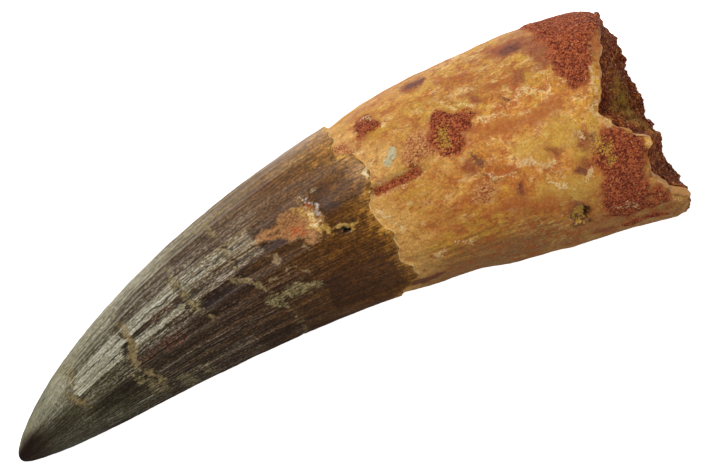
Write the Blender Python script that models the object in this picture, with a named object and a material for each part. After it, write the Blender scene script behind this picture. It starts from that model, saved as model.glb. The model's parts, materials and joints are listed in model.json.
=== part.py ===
"""Fossil spinosaur tooth lying on its side, with red sandstone set hard in its broken root.

The tooth is one solid: a fluted enamel crown and a smooth root that breaks off in a ragged rim.
The sandstone is a second solid that fills the pulp cavity and shows at the break.
Lengths are in millimetres until a vertex is made. +X runs from the tip to the root, +Z is up.
"""

import math

import bmesh
import bpy
from mathutils import Vector, noise

MM = 0.001

# The body: one arc seen from above, with a half-width that grows as a parabola does.
ARC_RADIUS = 234.0
ARC_CENTRE_X = 20.0
ARC_CENTRE_Y = -231.5
ARC_TOP_AT = 88.0  # distance from the tip at which the arc runs along +X
WIDTH_RATE = 1.8  # half-width = sqrt(2 * rate * distance)
TIP_NARROWING = 0.9  # taken off the rate at the very tip, which is slender
TIP_NARROWING_LENGTH = 12.0
WIDEST_AT = 113.0
DEPTH_SHARE_TIP = 0.86  # depth over width
DEPTH_SHARE_LOSS = 0.06  # the root is a little flatter than the crown
BODY_LENGTH = 130.0

# The crown: enamel with flutes cut in it between fine ridges, and a keel along each bend.
FLUTES = 30
FLUTE_DEPTH = 0.38
FLUTES_START, FLUTES_FULL = 4.0, 16.0
FLUTES_FADE, FLUTES_END = 56.0, 74.0
KEEL_HEIGHT = 0.12
KEEL_ANGLE = 7.0
LEDGE_WIDTH = 0.7
LEDGE_DROP = 0.35  # the root lies this far under the enamel at the foot of the ledge
LEDGE_RECOVERY = 6.0

# Where the enamel stops, and where the root breaks off: (degrees round the tooth, distance from
# the tip). 0 is the outer bend, 90 the upper side, 180 the inner bend and 270 the underside.
ENAMEL_EDGE = (
    (0, 78.4), (28, 79.4), (53, 78.6), (77, 81.3), (102, 81.2), (118, 82.8),
    (137, 82.7), (150, 81.8), (166, 78.0), (200, 79.0), (235, 82.0), (275, 80.2),
    (310, 82.4), (338, 79.6),
)
ROOT_RIM = (
    (0, 128.8), (28, 128.2), (44, 127.4), (60, 126.3), (74, 125.2), (85, 123.8),
    (92, 125.8), (100, 128.6), (107, 131.8), (113, 130.6), (121, 130.4), (130, 131.0),
    (139, 133.2), (152, 137.2), (166, 137.0), (182, 135.4), (204, 136.6), (220, 136.0),
    (236, 133.6), (252, 133.0), (268, 132.2), (284, 131.8), (302, 130.4), (320, 130.6),
    (342, 129.4),
)

# Sand left on the root, low crusts with a clear edge: (distance, degrees, half-length, half-width)
CRUSTS = (
    (98.8, 71.0, 3.7, 4.3),
    (122.8, 44.0, 6.0, 7.0),
    (126.2, 122.0, 5.2, 7.2),
    (113.0, 248.0, 8.0, 5.0),
    (96.0, 292.0, 6.0, 4.0),
)
CRUST_HEIGHT = 0.45
CRUST_EDGE = 1.8

# Dents and lumps with soft sides: (distance, degrees, half-length, half-width, height)
SWELLINGS = (
    (102.0, 182.0, 9.0, 12.0, 0.6),
    (94.0, 0.0, 14.0, 14.0, 0.35),
    (129.5, 6.0, 6.0, 11.0, -1.0),
    (74.2, 80.0, 4.6, 4.0, 1.3),
    (65.8, 77.0, 5.5, 2.6, -1.0),
)
ROOT_UNDULATION = 0.3
ROOT_UNDULATION_LENGTH = 14.0
RIM_WEAR = 0.7
RIM_WEAR_LENGTH = 2.5

# The underside is worn flat where the tooth lies on it.
FLAT_WEAR = 0.25
RESTING_FLAT = (112.0, 270.0, 15.0, 9.0)

# The pulp cavity, a cone that the sandstone fills.
WALL_AT_RIM = 2.0
CAVITY_APEX_AT = 84.0
CAVITY_FULLNESS = 0.8
FIT_GAP = 0.3
APEX_GAP = 1.5
SANDSTONE_RECESS = 0.5
SANDSTONE_BULGE = 2.6
SANDSTONE_FULLNESS = 1.5  # over 1 makes the broken face fullest below the middle
SANDSTONE_LUMPS = 0.6
SANDSTONE_LUMP_LENGTH = 5.0

# Large lumps of the broken face: (sideways, up, radius, height), sideways towards the outer bend
BREAK_LUMPS = (
    (11.5, -3.0, 4.0, 0.9),
    (7.2, -3.0, 3.4, -1.8),
    (2.6, -4.0, 4.4, 1.4),
    (-13.0, -3.0, 4.6, 1.2),
)

# How finely the solids are faceted.
AROUND = FLUTES * 3
CROWN_RINGS = 25
CROWN_RING_CROWDING = 1.3  # draws the rings towards the tip
ROOT_RINGS = 15
CAVITY_RINGS = 4
SANDSTONE_AROUND = FLUTES * 2
BREAK_RINGS = 8

TOOTH_COLOUR = (0.36, 0.19, 0.07, 1.0)
SANDSTONE_COLOUR = (0.15, 0.045, 0.018, 1.0)


def smooth_step(value, start, end):
    """0 before start, 1 past end, and smooth in between."""
    share = min(max((value - start) / (end - start), 0.0), 1.0)
    return share * share * (3.0 - 2.0 * share)


def angle_between(first, second):
    """Degrees from second to first by the shorter way round."""
    return (first - second + 180.0) % 360.0 - 180.0


def round_the_tooth(stations, degrees):
    """Reads a closed list of (degrees, distance) at any angle, smoothly between its stations."""
    degrees %= 360.0
    for index, (start, low) in enumerate(stations):
        end, high = stations[(index + 1) % len(stations)]
        span = (end - start) % 360.0
        along = (degrees - start) % 360.0
        if along <= span:
            return low + (high - low) * smooth_step(along, 0.0, span)
    return stations[0][1]


def half_width(distance):
    """Half the width of the tooth, seen from above."""
    narrowing = TIP_NARROWING * math.exp(-distance / TIP_NARROWING_LENGTH)
    return math.sqrt(2.0 * (WIDTH_RATE - narrowing) * min(distance, WIDEST_AT))


def half_depth(distance):
    """Half the height of the tooth as it lies."""
    share = DEPTH_SHARE_TIP - DEPTH_SHARE_LOSS * distance / BODY_LENGTH
    return half_width(distance) * share


def patch_depth(distance, degrees, patch):
    """How far inside an oval patch a place is, in millimetres. It is negative outside."""
    at, around, half_long, half_wide = patch[:4]
    along = (distance - at) / half_long
    across = math.radians(angle_between(degrees, around)) * half_width(at) / half_wide
    return (1.0 - math.hypot(along, across)) * min(half_long, half_wide)


def swelling(distance, degrees, patch):
    """Height of a soft-sided lump or dent."""
    share = patch_depth(distance, degrees, patch) / min(patch[2], patch[3])
    return patch[4] * smooth_step(share, 0.0, 1.0)


def flutes(distance, degrees):
    """Height of the shallow flutes, which is 0 on the fine ridges between them."""
    share = (degrees / 360.0 * FLUTES) % 1.0
    ridge = abs(2.0 * share - 1.0) ** 3
    grown = smooth_step(distance, FLUTES_START, FLUTES_FULL)
    faded = 1.0 - smooth_step(distance, FLUTES_FADE, FLUTES_END)
    return -FLUTE_DEPTH * (1.0 - ridge) * grown * faded


def keels(distance, degrees):
    """Height of the low keel along the outer and the inner bend."""
    nearest = min(abs(angle_between(degrees, 0.0)), abs(angle_between(degrees, 180.0)))
    keel = max(0.0, 1.0 - nearest / KEEL_ANGLE)
    return KEEL_HEIGHT * keel * smooth_step(distance, 0.0, FLUTES_FULL)


def root_height(distance, degrees, edge):
    """Height of the root, which dips at the enamel's ledge and is worn round at its rim."""
    turn = math.radians(degrees)
    place = Vector((distance, 20.0 * math.cos(turn), 20.0 * math.sin(turn)))
    dip = 1.0 - smooth_step(distance, edge + LEDGE_WIDTH, edge + LEDGE_RECOVERY)
    rim = round_the_tooth(ROOT_RIM, degrees)
    worn = smooth_step(distance, rim - RIM_WEAR_LENGTH, rim)
    wavy = ROOT_UNDULATION * noise.noise(place / ROOT_UNDULATION_LENGTH)
    return wavy - LEDGE_DROP * dip - RIM_WEAR * worn


def relief(distance, degrees):
    """Everything that stands proud of the plain body, or is sunk in it."""
    edge = round_the_tooth(ENAMEL_EDGE, degrees)
    on_root = smooth_step(distance, edge, edge + LEDGE_WIDTH)
    crown = flutes(distance, degrees) + keels(distance, degrees)
    height = crown + (root_height(distance, degrees, edge) - crown) * on_root
    for crust in CRUSTS:
        height += CRUST_HEIGHT * smooth_step(
            patch_depth(distance, degrees, crust), 0.0, CRUST_EDGE
        )
    for lump in SWELLINGS:
        height += swelling(distance, degrees, lump)
    worn = smooth_step(patch_depth(distance, degrees, RESTING_FLAT), 0.0, 2.0)
    return height * (1.0 - worn)


def body_point(distance, degrees, scale=1.0, raised=0.0):
    """A point of the tooth, by its distance from the tip and its place round the section."""
    heading = (distance - ARC_TOP_AT) / ARC_RADIUS
    turn = math.radians(degrees)
    width = half_width(distance) * scale + raised
    depth = half_depth(distance) * scale + raised
    radius = ARC_RADIUS + width * math.cos(turn)
    return Vector(
        (
            ARC_CENTRE_X + radius * math.sin(heading),
            ARC_CENTRE_Y + radius * math.cos(heading),
            half_depth(distance) - FLAT_WEAR + depth * math.sin(turn),
        )
    )


def surface_point(distance, degrees):
    """A point of the tooth's outside, worn flat where it meets the table."""
    point = body_point(distance, degrees, raised=relief(distance, degrees))
    point.z = max(point.z, 0.0)
    return point


def cavity_point(share, degrees, gap=0.0):
    """A point of the pulp cavity's wall. share runs from 0 at the apex to 1 at the rim."""
    rim = round_the_tooth(ROOT_RIM, degrees)
    distance = CAVITY_APEX_AT + (rim - CAVITY_APEX_AT) * share
    opening = 1.0 - (WALL_AT_RIM + gap) / half_depth(rim)
    point = body_point(distance, degrees, scale=opening * share**CAVITY_FULLNESS)
    point.z = max(point.z, WALL_AT_RIM + gap - FLAT_WEAR)
    return point


def break_point(share, degrees):
    """A point of the sandstone's broken face. share runs from 1 at the wall to 0 in the middle."""
    turn = math.radians(degrees)
    side = share * math.cos(turn)
    upper_turn = math.degrees(math.acos(min(max(side, -1.0), 1.0)))
    reach = math.sqrt(max(1.0 - side * side, 1e-6))
    height_share = min(max(0.5 + 0.5 * share * math.sin(turn) / reach, 0.0), 1.0)
    upper = round_the_tooth(ROOT_RIM, upper_turn)
    lower = round_the_tooth(ROOT_RIM, 360.0 - upper_turn)
    distance = lower + (upper - lower) * height_share**SANDSTONE_FULLNESS - SANDSTONE_RECESS
    distance += SANDSTONE_BULGE * math.sqrt(1.0 - share * share)
    place = Vector((side, share * math.sin(turn), 0.0)) * half_width(distance)
    inside = 1.0 - share**4
    rough = SANDSTONE_LUMPS * noise.noise(place / SANDSTONE_LUMP_LENGTH)
    for across, up, radius, height in BREAK_LUMPS:
        away = (place - Vector((across, up, 0.0))).length
        rough += height * (1.0 - smooth_step(away, 0.0, radius))
    distance += rough * inside
    rim = round_the_tooth(ROOT_RIM, degrees)
    opening = 1.0 - (WALL_AT_RIM + FIT_GAP) / half_depth(rim)
    point = body_point(distance, degrees, scale=opening * share)
    point.z = max(point.z, WALL_AT_RIM + FIT_GAP - FLAT_WEAR)
    return point


def new_ring(mesh, point_at, count=AROUND):
    """One closed ring of vertices, each where point_at says for its angle."""
    return [mesh.verts.new(point_at(360.0 * step / count) * MM) for step in range(count)]


def join_rings(mesh, first, second):
    """A band of faces between two rings, facing out when the rings run from tip to root."""
    for index, (a, b) in enumerate(zip(first, second)):
        after = (index + 1) % len(first)
        mesh.faces.new((a, first[after], second[after], b))


def close_ring(mesh, ring, pole_at, at_end):
    """A fan of faces from a ring to one vertex."""
    pole = mesh.verts.new(pole_at * MM)
    for index, corner in enumerate(ring):
        after = ring[(index + 1) % len(ring)]
        mesh.faces.new((corner, after, pole) if at_end else (after, corner, pole))


def outer_distance(ring, degrees):
    """Distance from the tip of a ring of the outside, which follows the enamel's edge and the rim."""
    edge = round_the_tooth(ENAMEL_EDGE, degrees)
    if ring <= CROWN_RINGS:
        return edge * (ring / CROWN_RINGS) ** CROWN_RING_CROWDING
    start = edge + LEDGE_WIDTH
    share = (ring - CROWN_RINGS - 1) / ROOT_RINGS
    return start + (round_the_tooth(ROOT_RIM, degrees) - start) * share


def add_object(name, mesh, colour, roughness):
    """Makes an object of its own material from a finished bmesh."""
    bmesh.ops.recalc_face_normals(mesh, faces=mesh.faces)
    data = bpy.data.meshes.new(name)
    mesh.to_mesh(data)
    mesh.free()
    data.shade_smooth()
    data.set_sharp_from_angle(angle=math.radians(40.0))
    material = bpy.data.materials.new(name)
    material.use_nodes = True
    shader = material.node_tree.nodes["Principled BSDF"]
    shader.inputs["Base Color"].default_value = colour
    shader.inputs["Roughness"].default_value = roughness
    data.materials.append(material)
    made = bpy.data.objects.new(name, data)
    bpy.context.scene.collection.objects.link(made)
    return made


def make_tooth():
    """Crown and root in one solid, hollow where the pulp was."""
    mesh = bmesh.new()
    rings = []
    for ring in range(1, CROWN_RINGS + ROOT_RINGS + 2):
        rings.append(
            new_ring(mesh, lambda turn, ring=ring: surface_point(outer_distance(ring, turn), turn))
        )
    for step in range(CAVITY_RINGS, 0, -1):
        share = step / CAVITY_RINGS
        rings.append(new_ring(mesh, lambda turn, share=share: cavity_point(share, turn)))
    for first, second in zip(rings, rings[1:]):
        join_rings(mesh, first, second)
    close_ring(mesh, rings[0], surface_point(0.0, 0.0), at_end=False)
    close_ring(mesh, rings[-1], cavity_point(0.0, 0.0), at_end=True)
    return add_object("tooth", mesh, TOOTH_COLOUR, 0.4)


def make_sandstone():
    """The sandstone that fills the pulp cavity, broken off rough at the root."""
    mesh = bmesh.new()
    rings = []
    for step in range(1, CAVITY_RINGS):
        share = step / CAVITY_RINGS
        rings.append(
            new_ring(
                mesh,
                lambda turn, share=share: cavity_point(share, turn, FIT_GAP),
                SANDSTONE_AROUND,
            )
        )
    for step in range(BREAK_RINGS, 0, -1):
        share = step / BREAK_RINGS
        rings.append(
            new_ring(mesh, lambda turn, share=share: break_point(share, turn), SANDSTONE_AROUND)
        )
    for first, second in zip(rings, rings[1:]):
        join_rings(mesh, first, second)
    apex = body_point(CAVITY_APEX_AT + APEX_GAP, 0.0, scale=0.0)
    close_ring(mesh, rings[0], apex, at_end=False)
    close_ring(mesh, rings[-1], break_point(0.0, 0.0), at_end=True)
    return add_object("sandstone_fill", mesh, SANDSTONE_COLOUR, 0.9)


def main():
    """Clears the scene and makes the two solids."""
    for item in list(bpy.data.objects):
        bpy.data.objects.remove(item)
    make_tooth()
    make_sandstone()


main()
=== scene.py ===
"""Looks of a fossil spinosaur tooth that lies on its side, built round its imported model.

The tooth is modelled in its own straightened coordinates: a distance from the tip in millimetres
and an angle round the section, 0 at the outer bend, 90 on the upper side, 180 at the inner bend.
"""

import json
import logging
import math
from dataclasses import dataclass
from enum import Enum
from functools import partial
from typing import Sequence

import bpy
import numpy as np
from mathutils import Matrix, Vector, noise

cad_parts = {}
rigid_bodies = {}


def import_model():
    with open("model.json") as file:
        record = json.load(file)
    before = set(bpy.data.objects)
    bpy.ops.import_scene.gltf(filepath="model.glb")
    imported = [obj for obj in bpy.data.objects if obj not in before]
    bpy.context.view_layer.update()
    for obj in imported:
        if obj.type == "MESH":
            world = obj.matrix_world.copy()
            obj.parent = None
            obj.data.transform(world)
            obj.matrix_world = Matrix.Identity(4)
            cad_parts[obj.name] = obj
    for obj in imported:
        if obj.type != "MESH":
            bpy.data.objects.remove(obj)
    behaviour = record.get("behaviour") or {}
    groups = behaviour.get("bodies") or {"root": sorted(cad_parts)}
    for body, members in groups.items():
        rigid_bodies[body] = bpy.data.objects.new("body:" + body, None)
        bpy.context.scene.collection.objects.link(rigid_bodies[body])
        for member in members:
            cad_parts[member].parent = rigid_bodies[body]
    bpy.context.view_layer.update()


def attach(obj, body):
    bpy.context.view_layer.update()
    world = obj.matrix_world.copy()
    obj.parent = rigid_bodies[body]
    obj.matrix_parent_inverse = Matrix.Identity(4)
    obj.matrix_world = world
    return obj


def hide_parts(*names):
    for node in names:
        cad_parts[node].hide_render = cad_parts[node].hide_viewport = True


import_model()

LOG = logging.getLogger("spinosaur_tooth")
MM = 0.001
SKIN_RADIUS = 20.0  # millimetres, the radius at which straightened coordinates are true to size
FLUTE_COUNT = 30  # round the whole crown
MIX_FACTOR, MIX_BELOW, MIX_ABOVE, MIX_COLOUR = 0, 6, 7, 2  # sockets of a colour Mix node

# Node types that the trees use over and over.
MATH = "ShaderNodeMath"
MAP_RANGE = "ShaderNodeMapRange"
NOISE = "ShaderNodeTexNoise"
MIX = "ShaderNodeMix"
ATTRIBUTE = "ShaderNodeAttribute"
VECTOR_MATH = "ShaderNodeVectorMath"
MAPPING = "ShaderNodeMapping"
RAMP = "ShaderNodeValToRGB"
VORONOI = "ShaderNodeTexVoronoi"
BUMP = "ShaderNodeBump"
SPLIT_XYZ = "ShaderNodeSeparateXYZ"


def linear_colour(code: str) -> tuple[float, float, float, float]:
    """Turns an sRGB hex value to the linear colour that a shader reads.

    Args:
        code: the colour as "#rrggbb".

    Returns:
        Red, green, blue and an alpha of 1.
    """
    parts = [int(code[at:at + 2], 16) / 255.0 for at in (1, 3, 5)]
    red, green, blue = (
        part / 12.92 if part <= 0.04045 else ((part + 0.055) / 1.055) ** 2.4 for part in parts
    )
    return red, green, blue, 1.0


def smooth_step(value: np.ndarray, start: float, end: float) -> np.ndarray:
    """Gives 0 before start, 1 past end, and a smooth rise in between.

    Args:
        value: any array.
        start: where the rise begins.
        end: where it ends.

    Returns:
        An array of the same shape.
    """
    share = np.clip((value - start) / (end - start), 0.0, 1.0)
    return share * share * (3.0 - 2.0 * share)


def add_node(
    tree: bpy.types.NodeTree,
    kind: str,
    inputs: dict | None = None,
    stops: Sequence[tuple[float, str]] = (),
    **settings: object,
) -> bpy.types.Node:
    """Adds a node with its settings and links.

    Args:
        tree: the shader or geometry tree.
        kind: the node's type.
        inputs: input names or numbers, each with a value or with the socket that feeds it.
        stops: places and hex colours of a colour ramp.
        **settings: properties of the node.

    Returns:
        The new node.
    """
    node = tree.nodes.new(kind)
    for name, value in settings.items():
        setattr(node, name, value)
    for key, value in (inputs or {}).items():
        if isinstance(value, bpy.types.NodeSocket):
            tree.links.new(value, node.inputs[key])
        else:
            node.inputs[key].default_value = value
    for index, (place, code) in enumerate(stops):
        elements = node.color_ramp.elements
        stop = elements[index] if index < 2 else elements.new(place)
        stop.position = place
        stop.color = linear_colour(code)
    return node


def noise_at(places: np.ndarray, length: float, seed: float, octaves: int = 1) -> np.ndarray:
    """Reads smooth noise, about -0.6 to 0.6, at many places.

    Args:
        places: (n, 3) coordinates in millimetres.
        length: the size of the largest lumps in millimetres.
        seed: shifts the pattern, so that each use has its own.
        octaves: how many halvings of the lumps are added.

    Returns:
        n values.
    """
    total = np.zeros(len(places))
    for octave in range(octaves):
        scale = 2.0**octave / length
        shifted = places * scale + seed * (octave + 1.37)
        total += np.array([noise.noise(place) for place in shifted.tolist()]) / 2.0**octave
    return total


class Kind(Enum):
    """The sorts of mark on the tooth, each named for the attribute that carries it."""

    SAND = "sand"
    THIN_SAND = "thin_sand"
    OCHRE = "ochre"
    LIMONITE = "limonite"
    CREAM = "cream"
    MANGANESE = "manganese"
    CLAY = "clay"
    IRON = "iron"
    RED = "red"
    FILLER = "filler"
    OLIVE = "olive"
    FLECK = "fleck"
    BARE = "bare"
    CHIP = "chip"
    PIT = "pit"


@dataclass(frozen=True)
class Body:
    """The tooth's plain body: one arc seen from above, with an oval section that grows."""

    arc_radius: float = 234.0
    arc_centre: tuple[float, float] = (20.0, -231.5)
    arc_top_at: float = 88.0
    width_rate: float = 1.8
    tip_narrowing: float = 0.9
    tip_narrowing_length: float = 12.0
    widest_at: float = 113.0
    depth_share: float = 0.86
    depth_loss: float = 0.06
    length: float = 130.0
    flat_wear: float = 0.25
    wall: float = 2.0
    cavity_from: float = 84.0
    cavity_fullness: float = 0.8
    enamel_edge: tuple[tuple[float, float], ...] = (
        (0, 78.4), (28, 79.0), (47, 78.6), (56, 81.7), (66, 83.0), (79, 81.6), (89, 79.8),
        (97, 80.4), (109, 81.8), (119, 81.5), (128, 81.0), (139, 82.7), (148, 83.0),
        (157, 80.8), (166, 78.0), (200, 79.0), (235, 82.0), (275, 80.2), (310, 82.4),
        (338, 79.6),
    )
    root_rim: tuple[tuple[float, float], ...] = (
        (0, 128.8), (28, 128.2), (44, 127.4), (60, 126.3), (74, 125.2), (85, 123.8),
        (92, 125.8), (100, 128.6), (107, 131.8), (113, 130.6), (121, 130.4), (130, 131.0),
        (139, 133.2), (152, 137.2), (166, 137.0), (182, 135.4), (204, 136.6), (220, 136.0),
        (236, 133.6), (252, 133.0), (268, 132.2), (284, 131.8), (302, 130.4), (320, 130.6),
        (342, 129.4),
    )

    def half_width(self, distance: np.ndarray) -> np.ndarray:
        """Half the width of the tooth, seen from above, in millimetres."""
        narrowing = self.tip_narrowing * np.exp(-distance / self.tip_narrowing_length)
        return np.sqrt(2.0 * (self.width_rate - narrowing) * np.clip(distance, 0.0, self.widest_at))

    def half_depth(self, distance: np.ndarray) -> np.ndarray:
        """Half the height of the tooth as it lies, in millimetres."""
        share = self.depth_share - self.depth_loss * distance / self.length
        return self.half_width(distance) * share

    def point(
        self,
        distance: np.ndarray,
        degrees: np.ndarray,
        scale: np.ndarray | float = 1.0,
        raised: np.ndarray | float = 0.0,
    ) -> np.ndarray:
        """Places points of the tooth in the model's frame.

        Args:
            distance: millimetres from the tip.
            degrees: the place round the section.
            scale: 1 on the outside and less inside.
            raised: millimetres proud of the plain body.

        Returns:
            (n, 3) coordinates in millimetres.
        """
        heading = (distance - self.arc_top_at) / self.arc_radius
        turn = np.radians(degrees)
        width = self.half_width(distance) * scale + raised
        depth = self.half_depth(distance) * scale + raised
        radius = self.arc_radius + width * np.cos(turn)
        return np.stack(
            [
                self.arc_centre[0] + radius * np.sin(heading),
                self.arc_centre[1] + radius * np.cos(heading),
                self.half_depth(distance) - self.flat_wear + depth * np.sin(turn),
            ],
            axis=-1,
        )

    def straightened(self, distance: np.ndarray, degrees: np.ndarray) -> np.ndarray:
        """Lays the tooth out as a straight tube, for patterns that follow it.

        Args:
            distance: millimetres from the tip.
            degrees: the places round the section.

        Returns:
            (n, 3) coordinates, true to size where the tooth is SKIN_RADIUS thick.
        """
        turn = np.radians(degrees)
        return np.stack([distance, SKIN_RADIUS * np.cos(turn), SKIN_RADIUS * np.sin(turn)], axis=-1)

    def round_the_tooth(
        self, stations: Sequence[tuple[float, float]], degrees: np.ndarray
    ) -> np.ndarray:
        """Reads a closed list of stations at any angle, smoothly between them.

        Args:
            stations: (degrees, distance) pairs in order.
            degrees: the angles to read.

        Returns:
            A distance for each angle.
        """
        starts = np.array([station[0] for station in stations])
        lows = np.array([station[1] for station in stations])
        spans = (np.roll(starts, -1) - starts) % 360.0
        at = (np.searchsorted(starts, degrees % 360.0, side="right") - 1) % len(starts)
        share = ((degrees - starts[at]) % 360.0) / spans[at]
        return lows[at] + (np.roll(lows, -1)[at] - lows[at]) * smooth_step(share, 0.0, 1.0)


BODY = Body()


@dataclass(frozen=True)
class Spot:
    """An oval mark, by its centre on the tooth, its half sizes in millimetres and its turn."""

    at: float
    degrees: float
    half_long: float
    half_wide: float
    turn: float = 0.0

    def depth(self, distance: np.ndarray, degrees: np.ndarray) -> np.ndarray:
        """Measures places against the mark.

        Args:
            distance: millimetres from the tip.
            degrees: the places round the section.

        Returns:
            How far inside the mark each place is, in millimetres, and negative outside.
        """
        along, across = unrolled(self.at, self.degrees, distance, degrees)
        turn = math.radians(self.turn)
        first = (along * math.cos(turn) + across * math.sin(turn)) / self.half_long
        second = (across * math.cos(turn) - along * math.sin(turn)) / self.half_wide
        reach = np.hypot(first, second)
        slope = np.hypot(first / self.half_long, second / self.half_wide)
        least = min(self.half_long, self.half_wide)
        return np.where(slope > 1e-6, reach * (1.0 - reach) / np.maximum(slope, 1e-6), least)


@dataclass(frozen=True)
class Trace:
    """A mark drawn along a line of (distance, degrees) points, with a half width."""

    half_wide: float
    points: tuple[tuple[float, float], ...]

    def depth(self, distance: np.ndarray, degrees: np.ndarray) -> np.ndarray:
        """Measures places against the mark.

        Args:
            distance: millimetres from the tip.
            degrees: the places round the section.

        Returns:
            How far inside the mark each place is, in millimetres, and negative outside.
        """
        best = np.full(distance.shape, -99.0)
        for start, end in zip(self.points, self.points[1:]):
            along, across = unrolled(*start, distance, degrees)
            run, rise = unrolled(*start, np.array(end[0]), np.array(end[1]))
            share = np.clip((along * run + across * rise) / (run * run + rise * rise), 0.0, 1.0)
            away = np.hypot(along - share * run, across - share * rise)
            best = np.maximum(best, self.half_wide - away)
        return best


@dataclass(frozen=True)
class Region:
    """A mark inside a closed line of (distance, degrees) points."""

    points: tuple[tuple[float, float], ...]

    def depth(self, distance: np.ndarray, degrees: np.ndarray) -> np.ndarray:
        """Measures places against the mark.

        Args:
            distance: millimetres from the tip.
            degrees: the places round the section.

        Returns:
            How far inside the mark each place is, in millimetres, and negative outside.
        """
        centre = np.mean(self.points, axis=0)
        along, across = unrolled(*centre, distance, degrees)
        corners = [unrolled(*centre, np.array(at), np.array(turn)) for at, turn in self.points]
        away = np.full(distance.shape, 99.0)
        inside = np.zeros(distance.shape, bool)
        for (x0, y0), (x1, y1) in zip(corners, corners[1:] + corners[:1]):
            run, rise = x1 - x0, y1 - y0
            share = ((along - x0) * run + (across - y0) * rise) / (run * run + rise * rise)
            share = np.clip(share, 0.0, 1.0)
            away = np.minimum(away, np.hypot(along - x0 - share * run, across - y0 - share * rise))
            crosses = (y0 > across) != (y1 > across)
            level = rise if abs(rise) > 1e-9 else 1e-9
            inside ^= crosses & (along < x0 + (across - y0) * run / level)
        return np.where(inside, away, -away)


def unrolled(
    at: float, around: float, distance: np.ndarray, degrees: np.ndarray
) -> tuple[np.ndarray, np.ndarray]:
    """Lays the skin out flat about one place.

    Args:
        at: the place's distance from the tip.
        around: the place's angle.
        distance: distances of the points to lay out.
        degrees: angles of the points to lay out.

    Returns:
        Millimetres along the tooth and millimetres around it.
    """
    turned = np.radians((degrees - around + 180.0) % 360.0 - 180.0)
    return distance - at, turned * BODY.half_width(np.array(at))


YELLOW_PIT = (115.8, 139.0)  # its distance and angle
FAR_OUTSIDE = -9.0  # millimetres, where a kind of mark is nowhere near

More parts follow.
